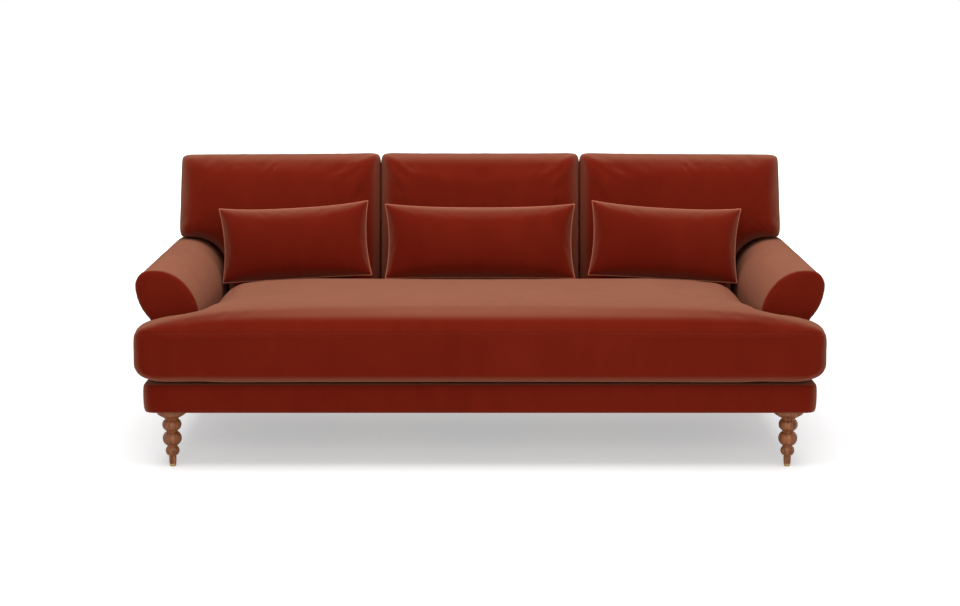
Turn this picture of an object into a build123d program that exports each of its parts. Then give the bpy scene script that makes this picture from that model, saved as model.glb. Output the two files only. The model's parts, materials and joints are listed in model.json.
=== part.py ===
"""Three-seat sofa with rolled arms, a bench seat cushion that wraps in front of the arms,
three loose back cushions, three lumbar pillows and turned wooden legs.

Millimetres. X runs along the sofa, -Y is the front, +Z is up. The origin is on the floor,
in the middle of the sofa's width and depth.
"""
from build123d import *
import math
import os

# Overall sizes
OVERALL_WIDTH = 2120
OVERALL_DEPTH = 1020
LEG_HEIGHT = 181
CLOTH = 2
REST_GAP = 0.3
OVERRUN = 400

# Base box
RAIL_SIDE_INSET = 60
BASE_HEIGHT = 90
BASE_BULGE = 31
SEAT_OVERHANG = 35
RAIL_THICKNESS = 22
RAIL_HEIGHT = 74
BASE_CORNER = 8
STRETCHER_WIDTH = 45
STRETCHER_DROP = 14
BLOCK_SIZE = 78
BLOCK_DROP = 6
DUST_COVER_THICKNESS = 1

# Deck on the base box
SPRING_COUNT = 10
SPRING_WIRE = 3.6
SPRING_WIDTH = 50
SPRING_PITCH = 80
SPRING_BEND_share = 0.3
CLIP_LENGTH = 22
CLIP_WIDTH = 18
CLIP_HEIGHT = 7
DECK_PAD_THICKNESS = 7

# Arms
ARM_INSET = 137
ARM_WIDTH = 190
ARM_PANEL_WIDTH = 142
ARM_HEIGHT = 335
ARM_ROLL_HEIGHT = 149
ARM_FRONT_SETBACK = 115
ARM_FACE_THICKNESS = 16
ARM_FACE_LIP = 2
ARM_FACE_ROUND = 6
ARM_PADDING = 14
ARM_BOARD = 18
ARM_RAIL_WIDTH = 40
ARM_RAIL_HEIGHT = 60

# Back frame
BACK_HEIGHT = 559
BACK_THICKNESS = 46
BACK_OVERHANG = 115
BACK_SIDE_REACH = 10
BACK_ROUND = 14
BACK_CORNER = 40
BACK_PADDING = 10
WEBBING_THICKNESS = 1.5
WEBBING_WIDTH = 50
WEBBING_COUNT = 9
POST_WIDTH = 60
BACK_RAIL_HEIGHT = 70
BACK_BOLT_DIAMETER = 8
BACK_BOLT_REACH = 14
BACK_BOLT_BAY_shares = (0, 0.3, 0.7, 1)

# Legs
LEG_INSET_X = 50
LEG_INSET_Y = 29
LEG_TOP_RADIUS = 46
LEG_TIP_HEIGHT = 9
LEG_TIP_RADIUS = 9.5
LEG_BOLT_DIAMETER = 8
LEG_BOLT_LENGTH = 70
LEG_BOLT_INTO_LEG = 34
PLATE_SIZE = 70
PLATE_THICKNESS = 3
PLATE_SCREW_DIAMETER = 4.5
PLATE_SCREW_HEAD = 8
PLATE_SCREW_LENGTH = 28
PLATE_SCREW_INSET = 9
FRAME_SCREW_DIAMETER = 6
FRAME_SCREW_LENGTH = 60

# Seat cushion
SEAT_HEIGHT = 234
SEAT_REAR_TUCK = 9.9
SEAT_ARM_GAP = 3
SEAT_EAR_GAP = 2
SEAT_TIP_DRAW = 400
SEAT_SIDE_DRAW = 260
SEAT_FRONT_DRAW = 200
SEAT_EAR_DRAW = 20
SEAT_REAR_DRAW = 150
SEAT_CORNER = 26
SEAT_INNER_CORNER = 8
COVER_THICKNESS = 2.5

# Zip along the rear band of the seat cushion
ZIP_LENGTH = 1200
ZIP_WIDTH = 24
ZIP_THICKNESS = 1.5
SLIDER_WIDTH = 9
SLIDER_HEIGHT = 11
SLIDER_THICKNESS = 3
SLIDER_GAP = 0.4
TAB_LENGTH = 24
TAB_THICKNESS = 1.4

# Back cushions
CUSHION_SIDE_REACH = 16
CUSHION_TOP_DRAW = 9
CUSHION_GAP = 4
CUSHION_HEIGHT = 620
CUSHION_THICKNESS = 140
CUSHION_DRAW = 110
CUSHION_CORNER = 20
CUSHION_FOOT = 25
CUSHION_DROP = 6
NOTCH_RADIUS = 122
NOTCH_GAP = 5

# Lumbar pillows
PILLOW_SPLIT_GAP = 22
PILLOW_HEIGHT = 242
PILLOW_THICKNESS = 112
PILLOW_ARM_GAP = 4
PILLOW_SIDE_TILT = 3.2
PILLOW_EDGE_HOLLOW = 12
PILLOW_DRAW = 92
PILLOW_LIFT = 1
PILLOW_SIDE_DROP = 2
PILLOW_CORNER = 9
WELT_DIAMETER = 5

# Places worked out from the sizes above
FRONT_Y = -OVERALL_DEPTH / 2
BASE_FRONT_Y = FRONT_Y + SEAT_OVERHANG
BASE_REAR_Y = -FRONT_Y - BACK_OVERHANG
SEAT_HALF_WIDTH = OVERALL_WIDTH / 2
RAIL_HALF_WIDTH = SEAT_HALF_WIDTH - RAIL_SIDE_INSET
BASE_TOP = LEG_HEIGHT + BASE_HEIGHT
RAIL_FRONT_Y = BASE_FRONT_Y + BASE_BULGE
RAIL_REAR_Y = BASE_REAR_Y - BASE_BULGE
RAIL_TOP = LEG_HEIGHT + RAIL_HEIGHT
ARM_FRONT_Y = FRONT_Y + ARM_FRONT_SETBACK
ARM_COVER_Y = ARM_FRONT_Y + ARM_FACE_THICKNESS
ARM_INNER = RAIL_HALF_WIDTH - ARM_INSET
BACK_HALF_WIDTH = RAIL_HALF_WIDTH + BACK_SIDE_REACH
BACK_LEAN = math.degrees(math.atan2(BACK_OVERHANG, BACK_HEIGHT))
LEAN_COS = math.cos(math.radians(BACK_LEAN))
LEAN_SIN = math.sin(math.radians(BACK_LEAN))
BACK_FOOT_Y = BASE_REAR_Y - BACK_THICKNESS / LEAN_COS
BACK_FOOT = (0, BACK_FOOT_Y, BASE_TOP)
BACK_PLANE = Plane(origin=BACK_FOOT, x_dir=(1, 0, 0), z_dir=(0, -LEAN_COS, LEAN_SIN))
BACK_SLOPE = BACK_HEIGHT / LEAN_COS
SEAT_FOOT = BASE_TOP + REST_GAP
SEAT_REAR_Y = BACK_FOOT_Y - CUSHION_THICKNESS / LEAN_COS + SEAT_REAR_TUCK
SEAT_SIDE = ARM_INNER - ARM_FACE_LIP - SEAT_ARM_GAP
SEAT_EAR_Y = ARM_FRONT_Y - SEAT_EAR_GAP
CUSHION_OUTER = BACK_HALF_WIDTH + CUSHION_SIDE_REACH
CUSHION_TOP_OUTER = CUSHION_OUTER - CUSHION_TOP_DRAW
CUSHION_SPLIT = CUSHION_OUTER / 3
PILLOW_INNER = CUSHION_SPLIT + PILLOW_SPLIT_GAP
PILLOW_OUTER = ARM_INNER - PILLOW_ARM_GAP
PILLOW_CENTRE_WIDTH = 2 * (CUSHION_SPLIT - PILLOW_SPLIT_GAP)
PILLOW_SIDE_WIDTH = (PILLOW_OUTER - PILLOW_INNER) / math.cos(math.radians(PILLOW_SIDE_TILT))
SIDES = {"left": -1, "right": 1}
CORNERS = {
    "front_left": (-1, -1),
    "front_right": (1, -1),
    "rear_left": (-1, 1),
    "rear_right": (1, 1),
}

# Each row: height share, outset share of the base's bulge
BASE_LEVEL_shares = [
    (0, 0.58), (0.10, 0.78), (0.30, 0.96), (0.48, 1),
    (0.66, 0.96), (0.84, 0.76), (0.95, 0.46), (1, 0.2),
]

# Each row: height share, then the share of each draw-in: ear tip, side, front, ear rear, seat rear
SEAT_LEVEL_shares = [
    (0.000, 0.210, 0.090, 0.260, 0.70, 0.16),
    (0.050, 0.135, 0.045, 0.150, 0.40, 0.10),
    (0.125, 0.065, 0.019, 0.065, 0.15, 0.05),
    (0.215, 0.018, 0.004, 0.020, 0.05, 0.01),
    (0.400, 0.000, 0.000, 0.000, 0.00, 0.00),
    (0.600, 0.010, 0.000, 0.010, 0.05, 0.00),
    (0.700, 0.042, 0.004, 0.050, 0.15, 0.01),
    (0.785, 0.105, 0.023, 0.130, 0.25, 0.03),
    (0.845, 0.188, 0.062, 0.215, 0.30, 0.06),
    (0.900, 0.388, 0.210, 0.345, 0.20, 0.12),
    (0.930, 0.510, 0.340, 0.440, 0.10, 0.19),
    (0.965, 0.700, 0.580, 0.650, -2.8, 0.40),
    (1.000, 1.000, 1.000, 1.050, -7.4, 1.00),
]
PILLOW_REST_LEVEL = 10

# Each row: thickness share, share of the draw-in
CUSHION_LEVEL_shares = [
    (0.004, 0.60), (0.03, 0.22), (0.08, 0.06), (0.16, 0.01), (0.40, 0.0), (0.66, 0.01),
    (0.77, 0.05), (0.85, 0.14), (0.92, 0.32), (0.97, 0.62), (1.0, 1.0),
]
PILLOW_LEVEL_shares = [
    (0.22, 0.05), (0.45, 0.14), (0.66, 0.28), (0.84, 0.50), (0.95, 0.76), (1, 1),
]

# Arm outline: share of the arm's width, share of the roll's height, along arcs of three points
ARM_ROLL_shares = [
    (0.000, 0.100), (0.089, 0.490), (0.220, 0.730), (0.440, 0.933), (0.740, 1.000),
    (0.920, 0.920), (1.000, 0.653), (0.945, 0.330), (0.780, 0.007),
]

# Leg outline from the floor up: height share, radius share
LEG_SHAPE_shares = [
    ((0.062, 0.230), (0.110, 0.242), (0.165, 0.250)),
    ((0.165, 0.250), (0.178, 0.236), (0.190, 0.254)),
    ((0.190, 0.254), (0.270, 0.463), (0.352, 0.330)),
    ((0.352, 0.330), (0.362, 0.324), (0.372, 0.355)),
    ((0.372, 0.355), (0.490, 0.635), (0.607, 0.392)),
    ((0.607, 0.392), (0.620, 0.376), (0.632, 0.405)),
    ((0.632, 0.405), (0.740, 0.639), (0.818, 0.480)),
    ((0.818, 0.480), (0.832, 0.452), (0.850, 0.480)),
    ((0.850, 0.480), (0.890, 0.760), (0.925, 0.960)),
]


def save(name, shape):
    """Write one sub-part to its own file."""
    export_step(shape, f"parts/{name}.step")


def group(shapes):
    """Several separate solids of one sub-part."""
    return Compound(children=[solid for shape in shapes for solid in shape.solids()])


def block(x, y, z):
    """Box between two values on each axis."""
    return Pos((x[0] + x[1]) / 2, (y[0] + y[1]) / 2, (z[0] + z[1]) / 2) * Box(
        x[1] - x[0], y[1] - y[0], z[1] - z[0]
    )


def above_height(height):
    """Everything above a height."""
    reach = OVERALL_DEPTH * 2
    return block((-reach, reach), (-reach, reach), (height, reach))


def in_front_half(y_low, y_high, z_low):
    """Everything on the right half between two places in depth, above a height."""
    reach = OVERALL_DEPTH * 2
    return block((0, reach), (y_low, y_high), (z_low, reach))


def rod(x, y, z_low, z_high, diameter):
    """Upright round rod."""
    return Pos(x, y, (z_low + z_high) / 2) * Cylinder(diameter / 2, z_high - z_low)


def outline(points, radii, height):
    """Flat closed outline with rounded corners, at one height."""
    return Pos(0, 0, height) * make_face(FilletPolyline(*points, radius=radii, close=True))


def stack(faces):
    """Solid through outlines laid one above the other."""
    return loft(faces, ruled=True)


def rails_outline(outset, height):
    """Rectangle round the base rails, grown by an outset."""
    x = RAIL_HALF_WIDTH + outset
    y_front = RAIL_FRONT_Y - outset
    y_rear = RAIL_REAR_Y + outset
    points = [(-x, y_front), (x, y_front), (x, y_rear), (-x, y_rear)]
    return outline(points, [BASE_CORNER + outset] * 4, height)


def base_form(skin):
    """The upholstered base box, or its inside below a skin."""
    faces = []
    for height_share, bulge_share in BASE_LEVEL_shares:
        height = LEG_HEIGHT + BASE_HEIGHT * height_share
        faces.append(rails_outline(BASE_BULGE * bulge_share - skin, height))
    return stack(faces)


def rails_block(low, high):
    """Square-cornered block over the whole rail frame."""
    return block((-RAIL_HALF_WIDTH, RAIL_HALF_WIDTH), (RAIL_FRONT_Y, RAIL_REAR_Y), (low, high))


def leg_places():
    """Name, X and Y of each leg's axis."""
    for name, (side, end) in CORNERS.items():
        y = RAIL_FRONT_Y + LEG_INSET_Y if end < 0 else RAIL_REAR_Y - LEG_INSET_Y
        yield name, side * (RAIL_HALF_WIDTH - LEG_INSET_X), y


def rail_corner(side, end, size, low, high):
    """Square in one inside corner of the rail frame."""
    x_in = side * (RAIL_HALF_WIDTH - RAIL_THICKNESS)
    y_in = RAIL_FRONT_Y + RAIL_THICKNESS if end < 0 else RAIL_REAR_Y - RAIL_THICKNESS
    x_pair = sorted((x_in, x_in - side * size))
    y_pair = sorted((y_in, y_in - end * size))
    return block(x_pair, y_pair, (low, high))


def plate_screw_places(side, end):
    """X and Y of the four screws of one leg plate."""
    x_in = side * (RAIL_HALF_WIDTH - RAIL_THICKNESS)
    y_in = RAIL_FRONT_Y + RAIL_THICKNESS if end < 0 else RAIL_REAR_Y - RAIL_THICKNESS
    near = PLATE_SCREW_INSET
    far = PLATE_SIZE - PLATE_SCREW_INSET
    for across in (near, far):
        for along in (near, far):
            yield x_in - side * across, y_in - end * along


def spring_places():
    """X of each zigzag spring."""
    spread = 2 * (RAIL_HALF_WIDTH - RAIL_THICKNESS - BLOCK_SIZE - SPRING_WIDTH / 2)
    return [spread * (i / (SPRING_COUNT - 1) - 0.5) for i in range(SPRING_COUNT)]


def back_bolt_places():
    """X of each bolt that holds the back to the base, midway between two springs."""
    places = spring_places()
    bays = [round(share * (SPRING_COUNT - 2)) for share in BACK_BOLT_BAY_shares]
    return [(places[bay] + places[bay + 1]) / 2 for bay in bays]


def make_legs():
    """Turned legs, their brass tips, bolts, plates and plate screws."""
    radius_unit = LEG_TOP_RADIUS
    edges = []
    for arc in LEG_SHAPE_shares:
        points = [(radius_unit * radius, LEG_HEIGHT * height) for height, radius in arc]
        edges.append(ThreePointArc(*points))
    first = edges[0] @ 0
    last = edges[-1] @ 1
    edges.append(Line(last, (radius_unit, LEG_HEIGHT)))
    edges.append(Line((radius_unit, LEG_HEIGHT), (0, LEG_HEIGHT)))
    edges.append(Line((0, LEG_HEIGHT), (0, LEG_TIP_HEIGHT)))
    edges.append(Line((0, LEG_TIP_HEIGHT), (first.X, LEG_TIP_HEIGHT)))
    edges.append(Line((first.X, LEG_TIP_HEIGHT), first))
    profile = Rot(90, 0, 0) * make_face(Wire(edges))
    turned = revolve(profile, Axis.Z)
    bolt_low = LEG_HEIGHT - LEG_BOLT_INTO_LEG
    turned -= rod(0, 0, bolt_low, LEG_HEIGHT + OVERRUN, LEG_BOLT_DIAMETER)
    tip = rod(0, 0, 0, LEG_TIP_HEIGHT, 2 * LEG_TIP_RADIUS)
    tip = fillet(tip.edges().group_by(Axis.Z)[0], LEG_TIP_HEIGHT / 3)
    bolt = rod(0, 0, bolt_low, bolt_low + LEG_BOLT_LENGTH, LEG_BOLT_DIAMETER)
    tips = []
    bolts = []
    for name, x, y in leg_places():
        save(f"leg_{name}", Pos(x, y, 0) * turned)
        tips.append(Pos(x, y, 0) * tip)
        bolts.append(Pos(x, y, 0) * bolt)
    save("leg_tips", group(tips))
    save("hanger_bolts", group(bolts))
    plates = []
    blocks = []
    screws = []
    plate_top = LEG_HEIGHT + PLATE_THICKNESS
    for (side, end), (_, x, y) in zip(CORNERS.values(), leg_places()):
        bore = rod(x, y, LEG_HEIGHT - OVERRUN, bolt_low + LEG_BOLT_LENGTH, LEG_BOLT_DIAMETER)
        plate = rail_corner(side, end, PLATE_SIZE, LEG_HEIGHT, plate_top) - bore
        wood = rail_corner(side, end, BLOCK_SIZE, plate_top, RAIL_TOP - BLOCK_DROP) - bore
        for screw_x, screw_y in plate_screw_places(side, end):
            screw_top = LEG_HEIGHT + PLATE_SCREW_LENGTH
            screw = rod(screw_x, screw_y, LEG_HEIGHT, screw_top, PLATE_SCREW_DIAMETER)
            screw += rod(screw_x, screw_y, LEG_HEIGHT, plate_top, PLATE_SCREW_HEAD)
            screws.append(screw)
            plate -= screw
            wood -= screw
        for screw in frame_screws(side, end):
            wood -= screw
        plates.append(plate)
        blocks.append(wood)
    save("leg_plates", group(plates))
    save("leg_plate_screws", group(screws))
    save("corner_blocks", group(blocks))


def frame_screws(side, end):
    """Screws that go through one corner block into the front or rear rail."""
    y_in = RAIL_FRONT_Y + RAIL_THICKNESS if end < 0 else RAIL_REAR_Y - RAIL_THICKNESS
    x_mid = side * (RAIL_HALF_WIDTH - RAIL_THICKNESS - BLOCK_SIZE * 0.7)
    height = LEG_HEIGHT + RAIL_HEIGHT * 0.72
    y_tip = y_in + end * RAIL_THICKNESS / 2
    screws = []
    y_mid = y_tip - end * FRAME_SCREW_LENGTH / 2
    for shift in (0, BLOCK_SIZE * 0.45):
        screw = Rot(90, 0, 0) * Cylinder(FRAME_SCREW_DIAMETER / 2, FRAME_SCREW_LENGTH)
        screws.append(Pos(x_mid + side * shift, y_mid, height) * screw)
    return screws


def make_base():
    """Rails, stretchers, screws, padding and covers of the base box."""
    inner_x = RAIL_HALF_WIDTH - RAIL_THICKNESS
    inner_front = RAIL_FRONT_Y + RAIL_THICKNESS
    inner_rear = RAIL_REAR_Y - RAIL_THICKNESS
    heights = (LEG_HEIGHT, RAIL_TOP)
    full = (-RAIL_HALF_WIDTH, RAIL_HALF_WIDTH)
    front = block(full, (RAIL_FRONT_Y, inner_front), heights)
    rear = block(full, (inner_rear, RAIL_REAR_Y), heights)
    screws = []
    for side, end in CORNERS.values():
        for screw in frame_screws(side, end):
            screws.append(screw)
            front -= screw
            rear -= screw
    for x in back_bolt_places():
        rear -= back_bolt(x)
    save("front_rail", front)
    save("rear_rail", rear)
    save("frame_screws", group(screws))
    for name, side in SIDES.items():
        x_pair = sorted((side * inner_x, side * RAIL_HALF_WIDTH))
        save(f"side_rail_{name}", block(x_pair, (inner_front, inner_rear), heights))
    stretchers = []
    for side in SIDES.values():
        x = side * RAIL_HALF_WIDTH / 3
        half = STRETCHER_WIDTH / 2
        top = RAIL_TOP - STRETCHER_DROP
        stretchers.append(block((x - half, x + half), (inner_front, inner_rear), (LEG_HEIGHT, top)))
    save("seat_stretchers", group(stretchers))

    cover = base_form(0) - base_form(CLOTH)
    padding = base_form(CLOTH) - rails_block(LEG_HEIGHT - OVERRUN, BASE_TOP + OVERRUN)
    save("base_cover", cover)
    save("base_padding", padding)

    dust_high = LEG_HEIGHT + DUST_COVER_THICKNESS
    dust = block((-inner_x, inner_x), (inner_front, inner_rear), (LEG_HEIGHT, dust_high))
    for side, end in CORNERS.values():
        dust -= rail_corner(side, end, BLOCK_SIZE, LEG_HEIGHT - OVERRUN, dust_high + OVERRUN)
    for stretcher in stretchers:
        dust -= stretcher
    save("dust_cover", group([dust]))


def back_bolt(x):
    """Upright bolt through the rear rail of the base into the back's bottom rail."""
    y = RAIL_REAR_Y - BACK_BOLT_DIAMETER * 0.75
    return rod(x, y, LEG_HEIGHT, BASE_TOP + BACK_BOLT_REACH, BACK_BOLT_DIAMETER)


def make_deck():
    """Zigzag springs on their clips, with a pad and a cloth over them."""
    front = RAIL_FRONT_Y + RAIL_THICKNESS / 2
    rear = RAIL_REAR_Y - RAIL_THICKNESS / 2
    wire_z = RAIL_TOP + CLIP_HEIGHT / 2
    turns = int((rear - front) / SPRING_PITCH)
    step = (rear - front) / (turns * 2)
    half = SPRING_WIDTH / 2
    points = []
    side = -1
    for i in range(turns * 2 + 1):
        points.append((side * half, front + step * i))
        points.append((-side * half, front + step * i))
        side = -side
    path = FilletPolyline(*points, radius=min(step, SPRING_WIDTH) * SPRING_BEND_share)
    start = path @ 0
    section = Plane(origin=start, z_dir=path % 0) * Circle(SPRING_WIRE / 2)
    spring = Pos(0, 0, wire_z) * sweep(section, path)
    springs = []
    clips = []
    for x in spring_places():
        springs.append(Pos(x, 0, 0) * spring)
        for y in (front, rear):
            clip = Pos(x, y, wire_z) * Box(CLIP_LENGTH, CLIP_WIDTH, CLIP_HEIGHT)
            wire = Rot(0, 90, 0) * Cylinder(SPRING_WIRE / 2, CLIP_LENGTH)
            clips.append(clip - Pos(x, y, wire_z) * wire)
    save("seat_springs", group(springs))
    save("spring_clips", group(clips))
    pad_low = RAIL_TOP + CLIP_HEIGHT
    pad_high = pad_low + DECK_PAD_THICKNESS
    spans = (-RAIL_HALF_WIDTH, RAIL_HALF_WIDTH), (RAIL_FRONT_Y, RAIL_REAR_Y)
    pad = block(*spans, (pad_low, pad_high))
    cover = block(*spans, (pad_high, BASE_TOP))
    skirt = block(*spans, (RAIL_TOP, pad_low))
    skirt -= block(
        (-RAIL_HALF_WIDTH + RAIL_THICKNESS, RAIL_HALF_WIDTH - RAIL_THICKNESS),
        (RAIL_FRONT_Y + RAIL_THICKNESS, RAIL_REAR_Y - RAIL_THICKNESS),
        (RAIL_TOP - OVERRUN, pad_low + OVERRUN),
    )
    room = SPRING_WIDTH + 2 * SPRING_WIRE
    for clip in clips:
        place = clip.center()
        skirt -= Pos(place.X, place.Y, wire_z) * Box(room, room, CLIP_HEIGHT)
    for x in back_bolt_places():
        bolt = back_bolt(x)
        pad -= bolt
        cover -= bolt
        skirt -= bolt
    save("deck_pad", pad)
    save("deck_cover", cover)
    save("deck_edge_felt", group([skirt]))


def arm_outline(inset):
    """Arm seen from the front, for the right arm, in X and Z."""
    def place(x_share, roll_share):
        height = BASE_TOP + ARM_HEIGHT - ARM_ROLL_HEIGHT * (1 - roll_share)
        return (ARM_INNER + ARM_WIDTH * x_share, height)

    points = [place(*share) for share in ARM_ROLL_shares]
    outer = (ARM_INNER + ARM_PANEL_WIDTH, points[-1][1] - ARM_ROLL_HEIGHT * 0.15)
    edges = [Line((ARM_INNER, BASE_TOP), points[0])]
    for i in range(0, len(points) - 1, 2):
        edges.append(ThreePointArc(*points[i:i + 3]))
    edges.append(Line(points[-1], outer))
    edges.append(Line(outer, (outer[0], BASE_TOP)))
    edges.append(Line((outer[0], BASE_TOP), (ARM_INNER, BASE_TOP)))
    face = make_face(Wire(edges))
    if inset:
        face = offset(face, -inset)
    return face


def arm_length(inset, y_front, y_rear):
    """The arm's outline drawn along Y."""
    return Pos(0, y_rear, 0) * (Rot(90, 0, 0) * extrude(arm_outline(inset), y_rear - y_front))


def behind_back(depth):
    """Everything behind a plane that lies in front of the back frame by a depth."""
    half = OVERRUN * 2
    reach = OVERALL_DEPTH * 4
    slab = Pos(0, 0, depth - half) * Box(reach, reach, 2 * half)
    return BACK_PLANE * slab


def make_arms():
    """Arm frames, padding, covers and face panels."""
    y_far = BASE_REAR_Y + BACK_OVERHANG
    outer = arm_length(0, ARM_COVER_Y, y_far) - behind_back(0)
    inside = arm_length(CLOTH, ARM_COVER_Y - OVERRUN, y_far) - behind_back(CLOTH)
    depth = CLOTH + ARM_PADDING
    core = arm_length(depth, ARM_COVER_Y - OVERRUN, y_far) - behind_back(depth)
    from_front = in_front_half(ARM_COVER_Y, y_far, 0)
    inside = inside & from_front
    core = core & from_front
    cover = outer - inside
    padding = inside - core
    front_board = core & in_front_half(ARM_COVER_Y, ARM_COVER_Y + ARM_BOARD, 0)
    y_board = BACK_FOOT_Y - depth - ARM_BOARD * 2
    rear_board = core & in_front_half(y_board, y_board + ARM_BOARD, 0)
    x_mid = ARM_INNER + ARM_PANEL_WIDTH / 2
    x_pair = (x_mid - ARM_RAIL_WIDTH / 2, x_mid + ARM_RAIL_WIDTH / 2)
    y_pair = (ARM_COVER_Y + ARM_BOARD, y_board)
    low = BASE_TOP + depth
    high = BASE_TOP + ARM_HEIGHT - ARM_PADDING * 2
    rails = [
        core & block(x_pair, y_pair, (low, low + ARM_RAIL_HEIGHT)),
        core & block(x_pair, y_pair, (high - ARM_RAIL_HEIGHT, high)),
    ]
    face = arm_length(-ARM_FACE_LIP, ARM_FRONT_Y, ARM_COVER_Y)
    face = face & in_front_half(FRONT_Y, y_far, BASE_TOP)
    rim = face.edges().filter_by_position(Axis.Y, ARM_FRONT_Y - 1, ARM_FRONT_Y + 1)
    face = fillet(rim.filter_by(lambda e: e.center().Z > BASE_TOP + ARM_FACE_ROUND), ARM_FACE_ROUND)
    for name, side in SIDES.items():
        def place(shape):
            return shape if side > 0 else mirror(shape, Plane.YZ)

        save(f"arm_cover_{name}", place(cover))
        save(f"arm_padding_{name}", place(padding))
        save(f"arm_frame_{name}", group([place(s) for s in [front_board, rear_board] + rails]))
        save(f"arm_face_{name}", place(face))


def back_slab(inset, t_low, t_high):
    """Rounded board of the back, between two depths of the leaning plane."""
    x = BACK_HALF_WIDTH - inset
    top = BACK_SLOPE - inset
    points = [(-x, -OVERRUN), (x, -OVERRUN), (x, top), (-x, top)]
    radii = [BACK_CORNER - inset] * 4
    face = outline(points, radii, t_low)
    return BACK_PLANE * extrude(face, t_high - t_low)


def make_back():
    """Back frame with its webbing, padding, inside cover and outside panel."""

    def stand(shape):
        return shape & above_height(BASE_TOP)

    rear = -BACK_THICKNESS
    panel = stand(back_slab(BACK_ROUND, rear, rear + CLOTH))
    whole = back_slab(0, rear, 0)
    front_rim = whole.edges().group_by(Axis((0, 0, 0), BACK_PLANE.z_dir))[-1]
    whole = fillet(front_rim, BACK_ROUND)
    hollow = back_slab(CLOTH, rear, -CLOTH)
    front_rim = hollow.edges().group_by(Axis((0, 0, 0), BACK_PLANE.z_dir))[-1]
    hollow = fillet(front_rim, BACK_ROUND - CLOTH)
    cover = stand(whole - hollow)
    rim = back_slab(CLOTH, rear, rear + CLOTH) - back_slab(BACK_ROUND, rear, rear + CLOTH)
    cover = cover + stand(rim)
    save("back_cover", cover)
    save("outside_back_panel", panel)
    x_out = BACK_HALF_WIDTH - BACK_ROUND
    x_in = x_out - POST_WIDTH
    webbing_front = -CLOTH - BACK_PADDING
    frame_front = webbing_front - WEBBING_THICKNESS
    frame_rear = rear + CLOTH
    padding = stand(hollow & back_slab(CLOTH, webbing_front, -CLOTH))
    foot = stand(BACK_PLANE * block((-x_in, x_in), (-OVERRUN, BACK_RAIL_HEIGHT), (webbing_front, -CLOTH)))
    save("back_padding", padding - foot)

    top = BACK_SLOPE - BACK_ROUND

    def member(x_pair, s_pair, t_pair):
        return stand(BACK_PLANE * block(x_pair, s_pair, t_pair))

    depth = (frame_rear, frame_front)
    for name, side in SIDES.items():
        x_pair = sorted((side * x_out, side * (x_out - POST_WIDTH)))
        save(f"back_post_{name}", member(x_pair, (-OVERRUN, top), depth))
    bottom_rail = member((-x_in, x_in), (-OVERRUN, BACK_RAIL_HEIGHT), (frame_rear, -CLOTH))
    bolts = []
    for x in back_bolt_places():
        bolts.append(back_bolt(x))
        bottom_rail -= back_bolt(x)
    save("back_bottom_rail", bottom_rail)
    save("back_bolts", group(bolts))
    save("back_top_rail", member((-x_in, x_in), (top - BACK_RAIL_HEIGHT, top), depth))
    uprights = []
    for side in SIDES.values():
        x = side * RAIL_HALF_WIDTH / 3
        x_pair = (x - POST_WIDTH / 2, x + POST_WIDTH / 2)
        uprights.append(member(x_pair, (BACK_RAIL_HEIGHT, top - BACK_RAIL_HEIGHT), depth))
    save("back_uprights", group(uprights))
    strips = []
    for i in range(WEBBING_COUNT):
        x = 2 * x_in * (i / (WEBBING_COUNT - 1) - 0.5) * 0.94
        x_pair = (x - WEBBING_WIDTH / 2, x + WEBBING_WIDTH / 2)
        s_pair = (BACK_RAIL_HEIGHT, top - BACK_RAIL_HEIGHT / 3)
        strips.append(member(x_pair, s_pair, (frame_front, webbing_front)))
    save("back_webbing", group(strips))


def seat_level(row, skin):
    """One level of the seat cushion: a T with ears in front of the arms."""
    height_share, tip_share, side_share, front_share, ear_share, rear_share = row
    tip = SEAT_HALF_WIDTH - SEAT_TIP_DRAW * tip_share - skin
    side = SEAT_SIDE - SEAT_SIDE_DRAW * side_share - skin
    front = FRONT_Y + SEAT_FRONT_DRAW * front_share + skin
    ear = SEAT_EAR_Y - SEAT_EAR_DRAW * ear_share - skin
    rear = SEAT_REAR_Y - SEAT_REAR_DRAW * rear_share - skin
    height = SEAT_FOOT + skin + (SEAT_HEIGHT - 2 * skin) * height_share
    points = [
        (-tip, front), (tip, front), (tip, ear), (side, ear),
        (side, rear), (-side, rear), (-side, ear), (-tip, ear),
    ]
    depth = (ear - front) * 0.4
    tip_round = min(SEAT_CORNER, depth)
    ear_round = min(SEAT_CORNER / 2, depth)
    step = (tip - side) * 0.4
    inner = min(SEAT_INNER_CORNER, step)
    ear_round = min(ear_round, step)
    radii = [tip_round, tip_round, ear_round, inner, SEAT_CORNER, SEAT_CORNER, inner, ear_round]
    return outline(points, radii, height)


def seat_form(skin):
    """The seat cushion's crowned form, or its inside below a skin."""
    return stack([seat_level(row, skin) for row in SEAT_LEVEL_shares])


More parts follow.
